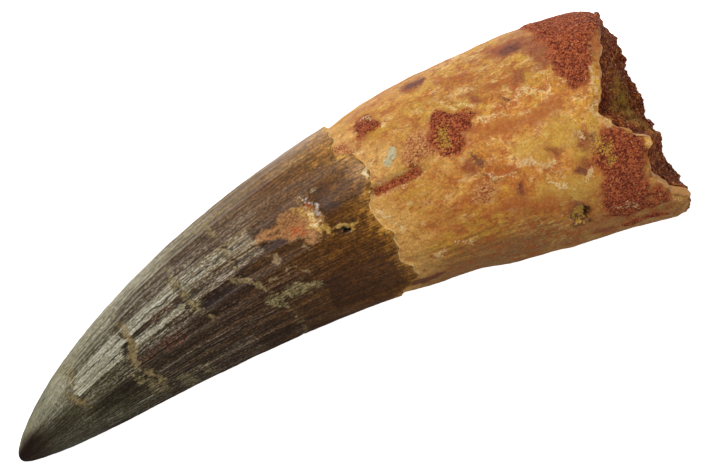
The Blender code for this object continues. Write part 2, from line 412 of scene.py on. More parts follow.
# What lies on the root, kind by kind: as the photograph shows it above, and freely below.
ROOT_MARKS: dict[Kind, tuple[Spot | Trace | Region, ...]] = {
    Kind.SAND: (
        Region(((83.4, 31), (85.8, 27), (87.2, 34), (87.6, 42), (86.4, 47), (83.6, 47))),
        Region(((94.4, 62), (95.6, 57), (97.6, 54.5), (99.8, 58), (101.8, 62), (104.6, 66),
                (102.4, 69), (101.0, 72), (101.2, 77), (99.0, 82.5), (96.6, 84), (95.4, 79),
                (94.2, 72))),
        Region(((115.4, 5), (117.0, 20), (118.0, 32), (118.4, 46), (118.6, 57), (119.6, 65),
                (121.2, 71), (123.8, 70), (125.4, 58), (125.8, 47), (127.6, 38), (130.0, 30),
                (131.0, 14), (131.0, -12), (123.0, -18), (117.0, -6))),
        Region(((121.0, 103), (122.4, 96), (124.4, 93), (127.2, 97), (130.4, 105), (130.2, 112),
                (129.4, 118), (129.5, 128), (129.8, 137), (128.8, 147), (124.0, 150), (120.9, 147),
                (120.2, 138), (120.4, 127), (121.6, 118), (120.8, 111))),
        Spot(131.2, 139, 2.3, 1.6, 76), Spot(129.6, 146, 1.3, 0.9, 35),
        Spot(130.0, 158, 2.6, 1.2, 10), Spot(125.6, 160, 2.0, 1.2, 20),
        Region(((106.0, 232), (110.0, 246), (117.0, 262), (122.0, 258), (120.0, 240),
                (112.0, 226))),
        Spot(128.0, 210, 4.2, 3.4, 30), Spot(124.0, 300, 4.6, 3.0, -30),
    ),
    Kind.THIN_SAND: (
        Spot(80.2, 47, 2.0, 1.6, 76),
        Region(((88.2, 72), (90.8, 63), (95.5, 60), (96.5, 76), (92.5, 79), (89.0, 79))),
        Region(((97.4, 108), (99.6, 102.5), (102.2, 103), (102.8, 109), (99.8, 111.5))),
        Region(((90.0, 286), (95.0, 300), (101.0, 302), (103.0, 291), (97.0, 281))),
        Spot(88.0, 232, 3.0, 1.6, 10),
    ),
    Kind.RED: (
        Trace(0.3, ((80.6, 50), (82.6, 49.5), (85.6, 47))), Spot(103.8, 57, 1.5, 0.9, 46),
        Spot(99.0, 91, 1.6, 1.2, 21), Spot(95.2, 23, 2.4, 1.9, 21), Spot(113.0, 31, 4.4, 3.0, 8),
        Spot(117.6, 40, 2.4, 5.0), Spot(112.6, 54, 1.8, 1.1, 55), Spot(119.8, 96, 2.6, 1.7, -74),
        Spot(113.8, 98.5, 1.7, 0.8, 18), Spot(119.6, 108, 2.0, 1.1, 60),
        Spot(119.6, 158, 2.2, 1.3, 20), Spot(106.6, 112.5, 1.7, 0.9, -73),
        Spot(104.0, 285, 3.2, 2.2, 30), Spot(117.0, 325, 4.0, 2.6, 30),
        Spot(90.0, 212, 2.4, 1.6, 10),
    ),
    Kind.CREAM: (
        Spot(88.4, 45, 1.0, 0.5, 60), Spot(86.2, 34, 1.2, 0.35, 70),
        Trace(0.12, ((98.4, 51), (100.6, 56.5), (103.4, 62))),
        Trace(0.14, ((103.2, 69.5), (105.6, 71.5), (108.1, 71.5), (109.7, 67), (111.6, 62),
                     (113.6, 61), (115.2, 65), (117.0, 71))),
        Trace(0.12, ((101.1, 98.5), (103.3, 101.5), (106.4, 103.5))), Spot(81.5, 97, 1.4, 0.5, 25),
        Spot(82.6, 69, 1.1, 0.5, -75), Spot(82.4, 53, 1.3, 0.5, 47),
        Spot(83.4, 108.5, 0.8, 0.5, -69),
        Spot(88.8, 135.5, 1.1, 0.35, 5), Trace(0.12, ((92.2, 131), (94.4, 134.5), (96.0, 135))),
        Trace(0.3, ((112.2, 61), (113.4, 64), (115.0, 66))), Spot(113.6, 115, 1.7, 0.5, 20),
        Spot(119.5, 93, 1.4, 0.6, -74), Spot(110.6, 101.5, 2.6, 0.55, 18),
        Spot(118.9, 116, 1.4, 0.6, -60), Trace(0.1, ((122.8, 137), (125.2, 139), (126.9, 144))),
        Trace(0.1, ((123.2, 141.5), (125.4, 140.5), (127.2, 141.5))),
        Trace(0.28, ((124.9, 62), (124.7, 70), (123.7, 79), (123.2, 86), (125.0, 93))),
        Trace(0.2, ((88.0, 262), (93.0, 268), (99.0, 266), (104.0, 272))),
        Trace(0.15, ((106.0, 312), (112.0, 318), (119.0, 316))),
        Trace(0.15, ((98.0, 214), (105.0, 209), (112.0, 212))),
    ),
    Kind.CLAY: (Spot(87.2, 66, 1.7, 0.75, -83),),
    Kind.OCHRE: (
        Spot(96.8, 71.5, 1.9, 1.05, -81), Spot(122.4, 91, 1.5, 0.6, -74),
        Spot(117.9, 101, 1.3, 0.4, 17), Spot(123.6, 106, 2.2, 1.0, -71),
        Spot(121.9, 100, 1.4, 0.5, -85), Spot(*YELLOW_PIT, 2.4, 1.6, 90),
        Trace(0.3, ((125.1, 74), (124.0, 84), (125.4, 91), (127.6, 97))),
    ),
    Kind.LIMONITE: (
        Trace(0.5, ((98.4, 51), (100.1, 55), (102.4, 61), (105.2, 64))),
        Spot(116.5, 92, 4.2, 3.2, 17), Spot(111.0, 94, 3.4, 2.4, 18),
        Spot(119.0, 104, 2.8, 1.8, 17),
        Spot(115.0, 120, 6.4, 2.8, 8), Spot(102.0, 322, 4.0, 2.4, 10),
        Spot(118.0, 205, 4.2, 2.6, 20),
    ),
    # Painted shade: the pits are sunk and painted near-black, with a dark crescent along one side
    # of the yellow pit.
    Kind.PIT: (Spot(108.6, 70, 0.4, 0.25, -74), Spot(117.2, 141, 2.2, 0.45, 90)),
    Kind.MANGANESE: (
        Spot(109.1, 64.5, 0.9, 0.7), Spot(101.1, 90.5, 1.3, 0.9, 80),
        Spot(100.6, 86, 0.8, 0.5, 22), Trace(0.22, ((100.2, 98.5), (101.4, 101), (103.4, 103))),
        Spot(96.2, 24, 1.5, 1.3, 20), Spot(112.6, 32, 2.6, 1.2, 8), Spot(121.2, 99, 1.3, 0.5, -75),
        Spot(118.0, 111, 1.2, 0.9, 78), Spot(*YELLOW_PIT, 3.2, 2.3, 90),
        Spot(106.7, 110.5, 1.3, 0.7, -73), Spot(84.0, 158, 3.4, 1.3, -8),
        Spot(109.0, 275, 1.7, 1.0, 30), Spot(99.0, 342, 1.8, 0.9, 10),
        Spot(93.0, 195, 1.4, 0.9, 40),
    ),
    Kind.IRON: (
        Spot(127.0, 46, 2.6, 1.0, -79), Spot(114.6, 77, 4.2, 1.4, -14),
        Spot(108.0, 79, 4.4, 1.2, 4),
        Spot(110.0, 124, 3.6, 1.4, 6), Spot(104.0, 120, 3.4, 0.9), Spot(96.0, 252, 4.4, 2.4, 10),
        Spot(112.0, 334, 4.2, 2.3, -10),
    ),
}

# What lies on the crown: old cracks with their filler, flecks, and the bare hollow.
TIP_CRACK = ((15.2, 60), (15.4, 77), (16.5, 85), (16.9, 95), (17.0, 108))
FIRST_CRACK = ((31.0, 12), (30.5, 28), (30.6, 48), (30.7, 64), (31.2, 70), (29.9, 83), (28.4, 89),
               (28.2, 102), (30.2, 112), (30.3, 132), (31.0, 158))
MIDDLE_CRACK = ((43.0, 30), (43.2, 44), (43.2, 64), (43.4, 81), (44.1, 91), (45.2, 104))
LAST_CRACK = ((53.4, 2), (53.2, 24), (53.0, 44), (53.4, 59), (54.0, 73), (54.1, 85), (52.6, 90),
              (55.0, 96), (56.6, 109), (57.4, 120), (58.8, 136), (58.7, 160))
HOLLOW_OUTLINE = ((59.6, 70.5), (64.9, 68.5), (69.6, 66), (71.2, 74), (71.4, 85), (69.8, 93),
                  (66.2, 87), (63.4, 79))
CROWN_MARKS: dict[Kind, tuple[Spot | Trace | Region, ...]] = {
    Kind.FILLER: (
        Trace(0.1, TIP_CRACK), Trace(0.12, FIRST_CRACK), Trace(0.08, MIDDLE_CRACK),
        Trace(0.12, LAST_CRACK), Trace(0.5, ((15.6, 76), (16.3, 86), (16.6, 96))),
        Trace(0.6, ((30.9, 60), (30.6, 78), (29.2, 90), (28.3, 100))),
        Trace(0.4, ((29.6, 112), (30.2, 122), (31.0, 136))),
        Trace(0.35, ((52.4, 88), (54.8, 95), (56.4, 106))), Trace(0.3, ((53.0, 30), (53.4, 46))),
        Trace(0.3, ((29.5, 200), (30.5, 240), (28.8, 280), (30.2, 320), (31.0, 352))),
        Trace(0.3, ((58.7, 160), (57.2, 205), (54.0, 250), (55.6, 300), (53.6, 352))),
        Trace(0.2, ((44.0, 230), (43.0, 262), (45.0, 290))), Spot(29.4, 262, 1.6, 1.0, 60),
    ),
    Kind.OLIVE: (
        Trace(0.9, ((42.9, 52), (43.0, 66))), Trace(0.9, ((43.2, 76), (43.9, 88))),
        Trace(1.0, ((17.6, 26), (18.4, 44), (17.2, 58))),
        Trace(0.7, ((27.6, 112), (28.4, 132), (30.0, 146))),
        Trace(0.9, ((34.0, 142), (34.8, 156), (35.2, 172))), Trace(0.8, ((38.6, 146), (39.4, 160))),
        Spot(62.0, 118, 4.4, 1.3, 6), Spot(57.0, 118, 1.8, 1.0, 60), Spot(60.0, 258, 4.0, 1.6, 6),
        Spot(40.0, 300, 3.0, 1.2),
    ),
    Kind.RED: (
        Trace(0.75, ((29.8, 99), (33.0, 100), (38.8, 101))), Trace(0.5, ((36.4, 74), (41.0, 76))),
        Trace(0.5, ((54.0, 34), (60.0, 34), (66.0, 35))),
    ),
    Kind.BARE: (Region(HOLLOW_OUTLINE),),
    Kind.OCHRE: (
        Trace(0.5, ((68.2, 69), (68.8, 74), (69.8, 80), (70.8, 87), (71.2, 91))),
        Spot(74.2, 93, 1.6, 0.5, 7),
    ),
    Kind.CREAM: (Trace(0.2, ((69.4, 64), (69.8, 69), (69.2, 74), (69.9, 80), (70.8, 85))),),
    Kind.IRON: (Spot(66.9, 81, 1.5, 0.9, 31), Spot(70.6, 70, 1.0, 0.5, -76)),
    # Painted highlight: grey-white streaks on the blister's steep front.
    Kind.CHIP: (Spot(71.2, 74, 1.5, 0.42, -76), Spot(70.4, 65, 0.7, 0.3, -60)),
    Kind.FLECK: (
        Spot(60.6, 91.5, 1.3, 0.7, 30), Spot(62.4, 102, 0.8, 0.45, 29),
        Spot(66.4, 94, 1.3, 0.4, 20),
        Spot(58.6, 102, 0.9, 0.4, 20), Spot(64.6, 108, 0.6, 0.35), Spot(54.6, 92, 1.2, 0.5, 40),
        Spot(71.9, 62, 0.8, 0.5, 70), Spot(66.0, 225, 1.4, 0.8, 10), Spot(49.0, 310, 1.1, 0.6, 10),
        Spot(70.0, 330, 1.2, 0.7, 10),
    ),
    # Painted shade: a near-black dot in the small pit.
    Kind.PIT: (Spot(74.1, 95, 0.55, 0.4, 20),),
}


def mark_depths(distance: np.ndarray, degrees: np.ndarray) -> dict[Kind, np.ndarray]:
    """Measures every place against the marks, whose edges are made ragged first.

    Args:
        distance: millimetres from the tip.
        degrees: the places round the section.

    Returns:
        For each kind, how far inside the nearest mark of it each place is.
    """
    places = BODY.straightened(distance, degrees)
    shift_along = 1.3 * noise_at(places, 2.6, 11.0, 3)
    shift_around = 1.3 * noise_at(places, 2.6, 23.0, 3)
    width = np.maximum(BODY.half_width(distance), 2.0)
    depths = {}
    for kind in Kind:
        share = 0.55 if kind is Kind.FILLER else 1.0  # old cracks run straighter
        moved = distance + share * shift_along
        turned = degrees + share * np.degrees(shift_around / width)
        depths[kind] = np.full(distance.shape, FAR_OUTSIDE)
        for mark in ROOT_MARKS.get(kind, ()) + CROWN_MARKS.get(kind, ()):
            depths[kind] = np.maximum(depths[kind], mark.depth(moved, turned))
    return depths


def mesh_from_rings(
    name: str, rings: np.ndarray, first_pole: np.ndarray, last_pole: np.ndarray
) -> bpy.types.Mesh:
    """Skins closed rings of points and closes both ends with a fan.

    Args:
        name: the mesh's name.
        rings: (ring, around, 3) places in millimetres, in order from the first pole to the last.
        first_pole: the point that closes the first ring.
        last_pole: the point that closes the last ring.

    Returns:
        A mesh with its faces out, in metres. Its last two vertices are the poles.
    """
    count, around, _ = rings.shape
    points = np.concatenate([rings.reshape(-1, 3), [first_pole, last_pole]]) * MM
    index = np.arange(count * around).reshape(count, around)
    after = np.roll(index, -1, axis=1)
    quads = np.stack([index[:-1], after[:-1], after[1:], index[1:]], axis=-1).reshape(-1, 4)
    pole = count * around
    first = np.stack([after[0], index[0], np.full(around, pole)], axis=-1)
    last = np.stack([index[-1], after[-1], np.full(around, pole + 1)], axis=-1)
    mesh = bpy.data.meshes.new(name)
    mesh.from_pydata(points.tolist(), [], quads.tolist() + first.tolist() + last.tolist())
    mesh.update()
    mesh.shade_smooth()
    return mesh


def store(mesh: bpy.types.Mesh, name: str, values: np.ndarray) -> None:
    """Keeps a number or a vector for each vertex as a named attribute.

    Args:
        mesh: the mesh.
        name: the attribute's name.
        values: (n,) numbers or (n, 3) vectors.
    """
    is_vector = values.ndim == 2
    attribute = mesh.attributes.new(name, "FLOAT_VECTOR" if is_vector else "FLOAT", "POINT")
    key = "vector" if is_vector else "value"
    attribute.data.foreach_set(key, np.ascontiguousarray(values, np.float32).ravel())


def bake_modifier(made: bpy.types.Object) -> None:
    """Turns an object's Geometry Nodes result into its plain mesh and drops the modifier.

    Args:
        made: the object.
    """
    graph = bpy.context.evaluated_depsgraph_get()
    result = bpy.data.meshes.new_from_object(made.evaluated_get(graph), depsgraph=graph)
    made.modifiers.clear()
    made.data = result


def run_tree(
    made: bpy.types.Object, tree: bpy.types.NodeTree, sizes: dict[str, tuple[str, object]]
) -> None:
    """Runs a Geometry Nodes tree on an object once, with its named inputs filled.

    Args:
        made: the object.
        tree: the tree.
        sizes: input names, each with its socket type and its value.
    """
    modifier = made.modifiers.new(tree.name, "NODES")
    modifier.node_group = tree
    for item in tree.interface.items_tree:
        if item.item_type == "SOCKET" and item.in_out == "INPUT" and item.name in sizes:
            modifier[item.identifier] = sizes[item.name][1]
    bake_modifier(made)


def new_geometry_tree(
    name: str, sizes: dict[str, tuple[str, object]]
) -> tuple[bpy.types.NodeTree, bpy.types.Node]:
    """Starts a Geometry Nodes tree with a geometry input, named inputs and a geometry output.

    Args:
        name: the tree's name.
        sizes: input names, each with its socket type and its value.

    Returns:
        The tree and its Group Input node.
    """
    tree = bpy.data.node_groups.new(name, "GeometryNodeTree")
    tree.interface.new_socket("Geometry", in_out="INPUT", socket_type="NodeSocketGeometry")
    for label, (kind, _) in sizes.items():
        tree.interface.new_socket(label, in_out="INPUT", socket_type=kind)
    tree.interface.new_socket("Geometry", in_out="OUTPUT", socket_type="NodeSocketGeometry")
    return tree, add_node(tree, "NodeGroupInput")


@dataclass(frozen=True)
class Flutes:
    """The crown's shallow flutes between fine ridges, cut by a rule round the whole crown."""

    count: int = FLUTE_COUNT
    depth: float = 0.36  # millimetres below the ridges
    start: float = 12.0  # millimetres from the tip, where the flutes begin
    full: float = 24.0  # where they are deep
    fade: float = 56.0  # where they start to fade
    end: float = 76.0  # where they are gone
    unevenness: float = 0.55
    swell_length: float = 20.0  # millimetres along which a flute's depth changes
    ridge_sharpness: float = 3.0

    def cut(self, made: bpy.types.Object, skin: bpy.types.Material) -> None:
        """Lowers the flutes' floors along the skin's normals.

        Args:
            made: the tooth, with its straightened and fluted attributes.
            skin: the enamel's material.
        """
        number = "NodeSocketFloat"
        sizes = {
            "Flutes": ("NodeSocketInt", self.count), "Depth": (number, self.depth),
            "Start": (number, self.start), "Full": (number, self.full),
            "Fade": (number, self.fade), "End": (number, self.end),
            "Unevenness": (number, self.unevenness), "Enamel": ("NodeSocketMaterial", skin),
        }
        tree, given = new_geometry_tree("crown_flutes", sizes)
        add, size = partial(add_node, tree), given.outputs
        read = "GeometryNodeInputNamedAttribute"
        place = add(read, {"Name": "straight"}, data_type="FLOAT_VECTOR").outputs[0]
        turn = add(read, {"Name": "turn"}, data_type="FLOAT").outputs[0]
        fluted = add(read, {"Name": "fluted"}, data_type="FLOAT").outputs[0]
        along = add(SPLIT_XYZ, {0: place}).outputs["X"]
        flute = add(MATH, {0: turn, 1: size["Flutes"]}, operation="MULTIPLY").outputs[0]
        share = add(MATH, {0: flute}, operation="FRACT").outputs[0]
        from_middle = add(MATH, {0: share, 1: 2.0, 2: -1.0}, operation="MULTIPLY_ADD").outputs[0]
        away = add(MATH, {0: from_middle}, operation="ABSOLUTE").outputs[0]
        ridge = add(MATH, {0: away, 1: self.ridge_sharpness}, operation="POWER").outputs[0]
        floor = add(MATH, {0: 1.0, 1: ridge}, operation="SUBTRACT").outputs[0]
        grown = add(MAP_RANGE, {0: along, 1: size["Start"], 2: size["Full"]},
                    interpolation_type="SMOOTHSTEP").outputs[0]
        faded = add(MAP_RANGE, {0: along, 1: size["End"], 2: size["Fade"]},
                    interpolation_type="SMOOTHSTEP").outputs[0]
        whole = add(MATH, {0: flute}, operation="FLOOR").outputs[0]
        lengthwise = add(MATH, {0: along, 1: 1.0 / self.swell_length},
                         operation="MULTIPLY").outputs[0]
        cell = add("ShaderNodeCombineXYZ", {"X": whole, "Y": lengthwise}).outputs[0]
        wander = add(NOISE, {"Vector": cell, "Scale": 1.0, "Detail": 1.0}).outputs[0]
        centred = add(MATH, {0: wander, 1: -0.5}, operation="ADD").outputs[0]
        strength = add(MATH, {0: centred, 1: size["Unevenness"], 2: 1.0},
                       operation="MULTIPLY_ADD").outputs[0]
        height = size["Depth"]
        for factor in (floor, grown, faded, strength, fluted, -MM):
            height = add(MATH, {0: height, 1: factor}, operation="MULTIPLY").outputs[0]
        normal = add("GeometryNodeInputNormal").outputs[0]
        offset = add(VECTOR_MATH, {0: normal, "Scale": height}, operation="SCALE").outputs[0]
        moved = add("GeometryNodeSetPosition",
                    {"Geometry": size["Geometry"], "Offset": offset}).outputs[0]
        whole_mesh = add("GeometryNodeRealizeInstances", {"Geometry": moved}).outputs[0]
        is_crown = add(read, {"Name": "on_crown"}, data_type="BOOLEAN").outputs[0]
        finished = add("GeometryNodeSetMaterial", {
            "Geometry": whole_mesh, "Selection": is_crown, "Material": size["Enamel"],
        }).outputs[0]
        add("NodeGroupOutput", {"Geometry": finished})
        run_tree(made, tree, sizes)


@dataclass(frozen=True)
class Layer:
    """A mark's colour over what is below it, with a ragged edge."""

    kind: Kind
    dark: str
    light: str
    soft: float
    ragged: float
    strength: float = 1.0

    def cover(
        self, tree: bpy.types.NodeTree, ragged: bpy.types.NodeSocket
    ) -> bpy.types.NodeSocket:
        """How much of the mark shows at each place.

        Args:
            tree: the material's tree.
            ragged: noise about 0.5 that frays the edge.

        Returns:
            The socket that carries it, 0 to 1.
        """
        add = partial(add_node, tree)
        depth = add(ATTRIBUTE, attribute_name=self.kind.value).outputs["Fac"]
        frayed = add(MATH, {0: ragged, 1: self.ragged, 2: depth},
                     operation="MULTIPLY_ADD").outputs[0]
        middle = 0.5 * self.ragged
        reach = {0: frayed, 1: middle - self.soft, 2: middle + self.soft, 4: self.strength}
        return add(MAP_RANGE, reach, interpolation_type="SMOOTHSTEP").outputs[0]

    def over(
        self,
        tree: bpy.types.NodeTree,
        below: bpy.types.NodeSocket,
        ragged: bpy.types.NodeSocket,
        tone: bpy.types.NodeSocket,
    ) -> bpy.types.NodeSocket:
        """Lays the mark's colour over another colour.

        Args:
            tree: the material's tree.
            below: the colour that the mark covers.
            ragged: noise that frays the edge.
            tone: noise that runs from the mark's dark colour to its light one.

        Returns:
            The colour socket.
        """
        add = partial(add_node, tree)
        dark, light = linear_colour(self.dark), linear_colour(self.light)
        own = add(MIX, {MIX_FACTOR: tone, MIX_BELOW: dark, MIX_ABOVE: light},
                  data_type="RGBA").outputs[MIX_COLOUR]
        return add(MIX, {MIX_FACTOR: self.cover(tree, ragged), MIX_BELOW: below, MIX_ABOVE: own},
                   data_type="RGBA").outputs[MIX_COLOUR]


def new_material(name: str) -> tuple[bpy.types.Material, bpy.types.NodeTree, bpy.types.Node]:
    """Starts a material.

    Args:
        name: the material's name.

    Returns:
        The material, its tree and its Principled shader.
    """
    made = bpy.data.materials.new(name)
    made.use_nodes = True
    return made, made.node_tree, made.node_tree.nodes["Principled BSDF"]


# Tones of single plates between the flutes and the cracks on the side that the photograph shows:
# tone (below 0 dark, above 1 the palest), start and end from the tip, first and last angle.
# Partly painted light: the palest plates, from about 58 to 85 degrees, are a painted highlight
# band, and the dark plate just behind the blister is a painted shadow.
PLATES: tuple[tuple[float, float, float, float, float], ...] = (
    (0.3, 19.5, 29.5, 46, 58), (1.6, 17.0, 30.0, 58, 73), (1.0, 16.5, 28.5, 73, 84),
    (0.05, 17.2, 28.6, 84, 105), (-0.75, 20.5, 29.5, 105, 124), (-0.4, 17.0, 28.5, 124, 135),
    (0.0, 17.0, 30.0, 135, 170), (0.2, 30.8, 42.8, 35, 42), (0.15, 30.8, 42.8, 42, 58),
    (1.5, 30.8, 42.8, 58, 71), (0.3, 36.0, 41.0, 71, 76), (1.05, 31.0, 42.0, 76, 85),
    (0.1, 30.0, 44.0, 85, 93), (-0.3, 29.5, 41.0, 93, 102), (-0.65, 41.0, 56.0, 93, 102),
    (-0.5, 30.2, 56.0, 102, 119), (-0.25, 30.2, 56.0, 119, 126), (-0.5, 31.0, 57.0, 126, 134),
    (-0.2, 31.0, 50.0, 135, 170), (-0.1, 44.0, 53.0, 35, 45), (0.15, 44.0, 53.0, 50, 58),
    (0.8, 43.8, 53.4, 58, 72), (0.25, 44.2, 53.8, 72, 85), (-0.8, 45.0, 54.5, 85, 93),
    (0.85, 53.8, 59.0, 59, 71), (0.15, 53.8, 62.0, 44, 59), (0.5, 54.4, 60.0, 71, 82),
    (-0.45, 56.0, 66.0, 88, 108), (-0.45, 58.5, 66.0, 121, 150), (-1.1, 66.0, 80.0, 119, 152),
    (-0.6, 72.0, 79.5, 88, 100), (-0.5, 71.5, 79.0, 57, 88), (-1.1, 72.2, 74.8, 60, 84),
)


@dataclass
class Tooth:
    """The tooth itself: a fluted enamel crown on a smooth root, with a broken hollow end."""

    around: int = 300
    crown_rings: int = 190
    root_rings: int = 114
    wall_rings: int = 4
    cavity_rings: int = 5
    crowding: float = 1.15  # above 1, the crown's rings lie closer together at the tip
    upper_share: float = 0.3  # how much closer the columns lie on the upper side
    ledge: float = 0.3  # millimetres along, from the enamel's edge to the root
    keel_height: float = 0.12
    keel_half_angle: float = 7.0
    # Distance and angle, half length and half width, and height of the broad swells and dips.
    swells: tuple[tuple[tuple[float, float], tuple[float, float], float], ...] = (
        ((102.0, 182.0), (9.0, 12.0), 0.6),
        ((94.0, 0.0), (14.0, 14.0), 0.35),
        ((129.5, 6.0), (6.0, 11.0), -1.0),
        ((65.8, 77.0), (5.5, 2.9), -0.9),
    )
    blister_top: tuple[float, float] = (74.0, 79.0)
    blister_half_wide: float = 5.6
    blister_height: float = 1.5
    pit_half_size: tuple[float, float] = (1.9, 2.7)
    pit_depth: float = 1.2
    resting_flat: tuple[float, float] = (112.0, 270.0)
    flat_half_size: tuple[float, float] = (15.0, 9.0)
    tanned_lump: tuple[float, float] = (74.6, 71.0)
    seed: int = 7

    def columns(self) -> np.ndarray:
        """Spaces the grid's columns, closer together on the upper side.

        Returns:
            The angle of each column.
        """
        share = (np.arange(self.around) + 0.5) / self.around
        shift = self.upper_share * 360.0 / (2.0 * math.pi) * np.cos(2.0 * math.pi * share)
        return (360.0 * share + shift) % 360.0

    def enamel_edge(self, degrees: np.ndarray) -> np.ndarray:
        """Finds where the enamel ends, with its small ragged steps.

        Args:
            degrees: the places round the section.

        Returns:
            A distance from the tip for each angle.
        """
        edge = BODY.round_the_tooth(BODY.enamel_edge, degrees)
        places = BODY.straightened(edge, degrees)
        return edge + 1.1 * noise_at(places, 4.0, 31.0, 3)

    def rim(self, degrees: np.ndarray) -> np.ndarray:
        """Finds where the root is broken off, with its small chips.

        Args:
            degrees: the places round the section.

        Returns:
            A distance from the tip for each angle.
        """
        rim = BODY.round_the_tooth(BODY.root_rim, degrees)
        return rim + 0.6 * noise_at(BODY.straightened(rim, degrees), 2.6, 43.0, 3)

    def grid(self) -> tuple[np.ndarray, np.ndarray, np.ndarray, np.ndarray]:
        """Lays out the outside's rings.

        Returns:
            Distance, degrees, the enamel's edge and the rim at each place, each (rings, around).
        """
        columns = self.columns()
        edge, rim = self.enamel_edge(columns), self.rim(columns)
        crown = (np.arange(1, self.crown_rings + 1) / self.crown_rings)[:, None] ** self.crowding
        root = (np.arange(self.root_rings) / (self.root_rings - 1.0))[:, None]
        start = edge + self.ledge
        distance = np.concatenate([crown * edge, start + root * (rim - start)])
        shape = distance.shape
        return distance, *(np.broadcast_to(row, shape) for row in (columns, edge, rim))

    def keel(self, degrees: np.ndarray) -> np.ndarray:
        """Raises the fine cutting edge along each bend.

        Args:
            degrees: the places round the section.

        Returns:
            Millimetres.
        """
        from_outer = np.abs((degrees + 180.0) % 360.0 - 180.0)
        nearest = np.minimum(from_outer, np.abs(degrees - 180.0))
        return self.keel_height * np.clip(1.0 - nearest / self.keel_half_angle, 0.0, 1.0)

    def oval(
        self,
        distance: np.ndarray,
        degrees: np.ndarray,
        place: tuple[float, float],
        half_size: tuple[float, float],
    ) -> np.ndarray:
        """Weighs places against an oval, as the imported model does.

        Args:
            distance: millimetres from the tip.
            degrees: the places round the section.
            place: the oval's middle, as a distance and an angle.
            half_size: half its length and half its width in millimetres.

        Returns:
            1 at the middle, falling to 0 at the edge.
        """
        along, across = unrolled(*place, distance, degrees)
        return np.clip(1.0 - np.hypot(along / half_size[0], across / half_size[1]), 0.0, 1.0)

    def swellings(self, distance: np.ndarray, degrees: np.ndarray) -> np.ndarray:
        """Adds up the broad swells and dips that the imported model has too.

        Args:
            distance: millimetres from the tip.
            degrees: the places round the section.

        Returns:
            Millimetres.
        """
        total = np.zeros(distance.shape)
        for place, half_size, height in self.swells:
            inside = self.oval(distance, degrees, place, half_size)
            total += height * smooth_step(inside, 0.0, 1.0)
        return total

    def blister(self, distance: np.ndarray, degrees: np.ndarray) -> np.ndarray:
        """Raises the lump behind the bare hollow: steep towards the tip, gentle behind.

        Args:
            distance: millimetres from the tip.
            degrees: the places round the section.

        Returns:
            Millimetres.
        """
        _, across = unrolled(*self.blister_top, distance, degrees)
        front = 70.6 + 0.03 * across**2
        rise = smooth_step(distance, front, front + 1.3)
        fall = 1.0 - smooth_step(distance, 72.6, 83.0)
        sides = np.clip(1.0 - (across / self.blister_half_wide) ** 2, 0.0, 1.0)
        return self.blister_height * rise * fall * sides**1.5

    def crusts(
        self, distance: np.ndarray, degrees: np.ndarray, depths: dict[Kind, np.ndarray]
    ) -> np.ndarray:
        """Raises the sand and the small blobs, and sinks the pits and the groove.

        Args:
            distance: millimetres from the tip.
            degrees: the places round the section.
            depths: how far inside each kind of mark the places are.

        Returns:
            Millimetres.
        """
        places = BODY.straightened(distance, degrees)
        lumps = noise_at(places, 1.1, 57.0, 2)
        groove = ROOT_GROOVE.depth(distance, degrees)
        in_groove = smooth_step(groove, -0.9, 0.35)
        crust = smooth_step(depths[Kind.SAND], -0.1, 1.4) * (0.35 + 0.16 * lumps)
        crust += smooth_step(depths[Kind.THIN_SAND], 0.0, 1.2) * (0.08 + 0.1 * lumps)
        crust *= 1.0 - in_groove
        blobs = 0.1 * smooth_step(depths[Kind.CREAM], -0.15, 0.35)
        blobs += 0.12 * smooth_step(depths[Kind.CLAY], -0.2, 0.3)
        pits = 1.3 * smooth_step(depths[Kind.PIT], -0.3, 0.55)
        return crust + blobs - pits - 0.75 * in_groove

    def relief(
        self,
        distance: np.ndarray,
        degrees: np.ndarray,
        edge: np.ndarray,
        rim: np.ndarray,
        depths: dict[Kind, np.ndarray],
    ) -> np.ndarray:
        """How far the skin stands from the plain body at each place, flutes apart.

        Args:
            distance: millimetres from the tip.
            degrees: the places round the section.
            edge: the enamel's edge there.
            rim: the broken rim there.
            depths: how far inside each kind of mark the places are.

        Returns:
            Millimetres.
        """
        places = BODY.straightened(distance, degrees)
        fine = noise_at(places, 1.6, 71.0, 3)
        crown = self.keel(degrees) * smooth_step(distance, 0.0, 16.0)
        crown = crown + 0.05 * fine + 0.1 * noise_at(places, 7.0, 77.0)
        crown -= 0.55 * smooth_step(depths[Kind.BARE], -0.3, 1.4)
        crown -= 0.12 * smooth_step(depths[Kind.OLIVE], -0.1, 0.3)
        crown -= 0.1 * smooth_step(depths[Kind.FILLER], -0.2, 0.2)
        dip = 1.0 - smooth_step(distance - edge, 0.3, 5.5)
        worn = smooth_step(distance - rim, -1.8, 0.0)
        wavy = 0.3 * noise_at(places, 14.0, 0.0) + 0.16 * noise_at(places, 4.5, 83.0, 2)
        root = wavy + 0.05 * fine - 0.4 * dip - 0.6 * worn * (1.0 + fine)
        on_root = smooth_step(distance - edge, 0.0, self.ledge)
        height = crown + (root - crown) * on_root
        height = height + self.crusts(distance, degrees, depths)
        height += self.swellings(distance, degrees) + self.blister(distance, degrees)
        pit = self.oval(distance, degrees, YELLOW_PIT, self.pit_half_size)
        height -= self.pit_depth * smooth_step(pit, 0.0, 0.4)
        along, across = unrolled(*self.resting_flat, distance, degrees)
        half_long, half_wide = self.flat_half_size
        on_flat = (1.0 - np.hypot(along / half_long, across / half_wide)) * half_wide
        return height * (1.0 - smooth_step(on_flat, 0.0, 2.0))

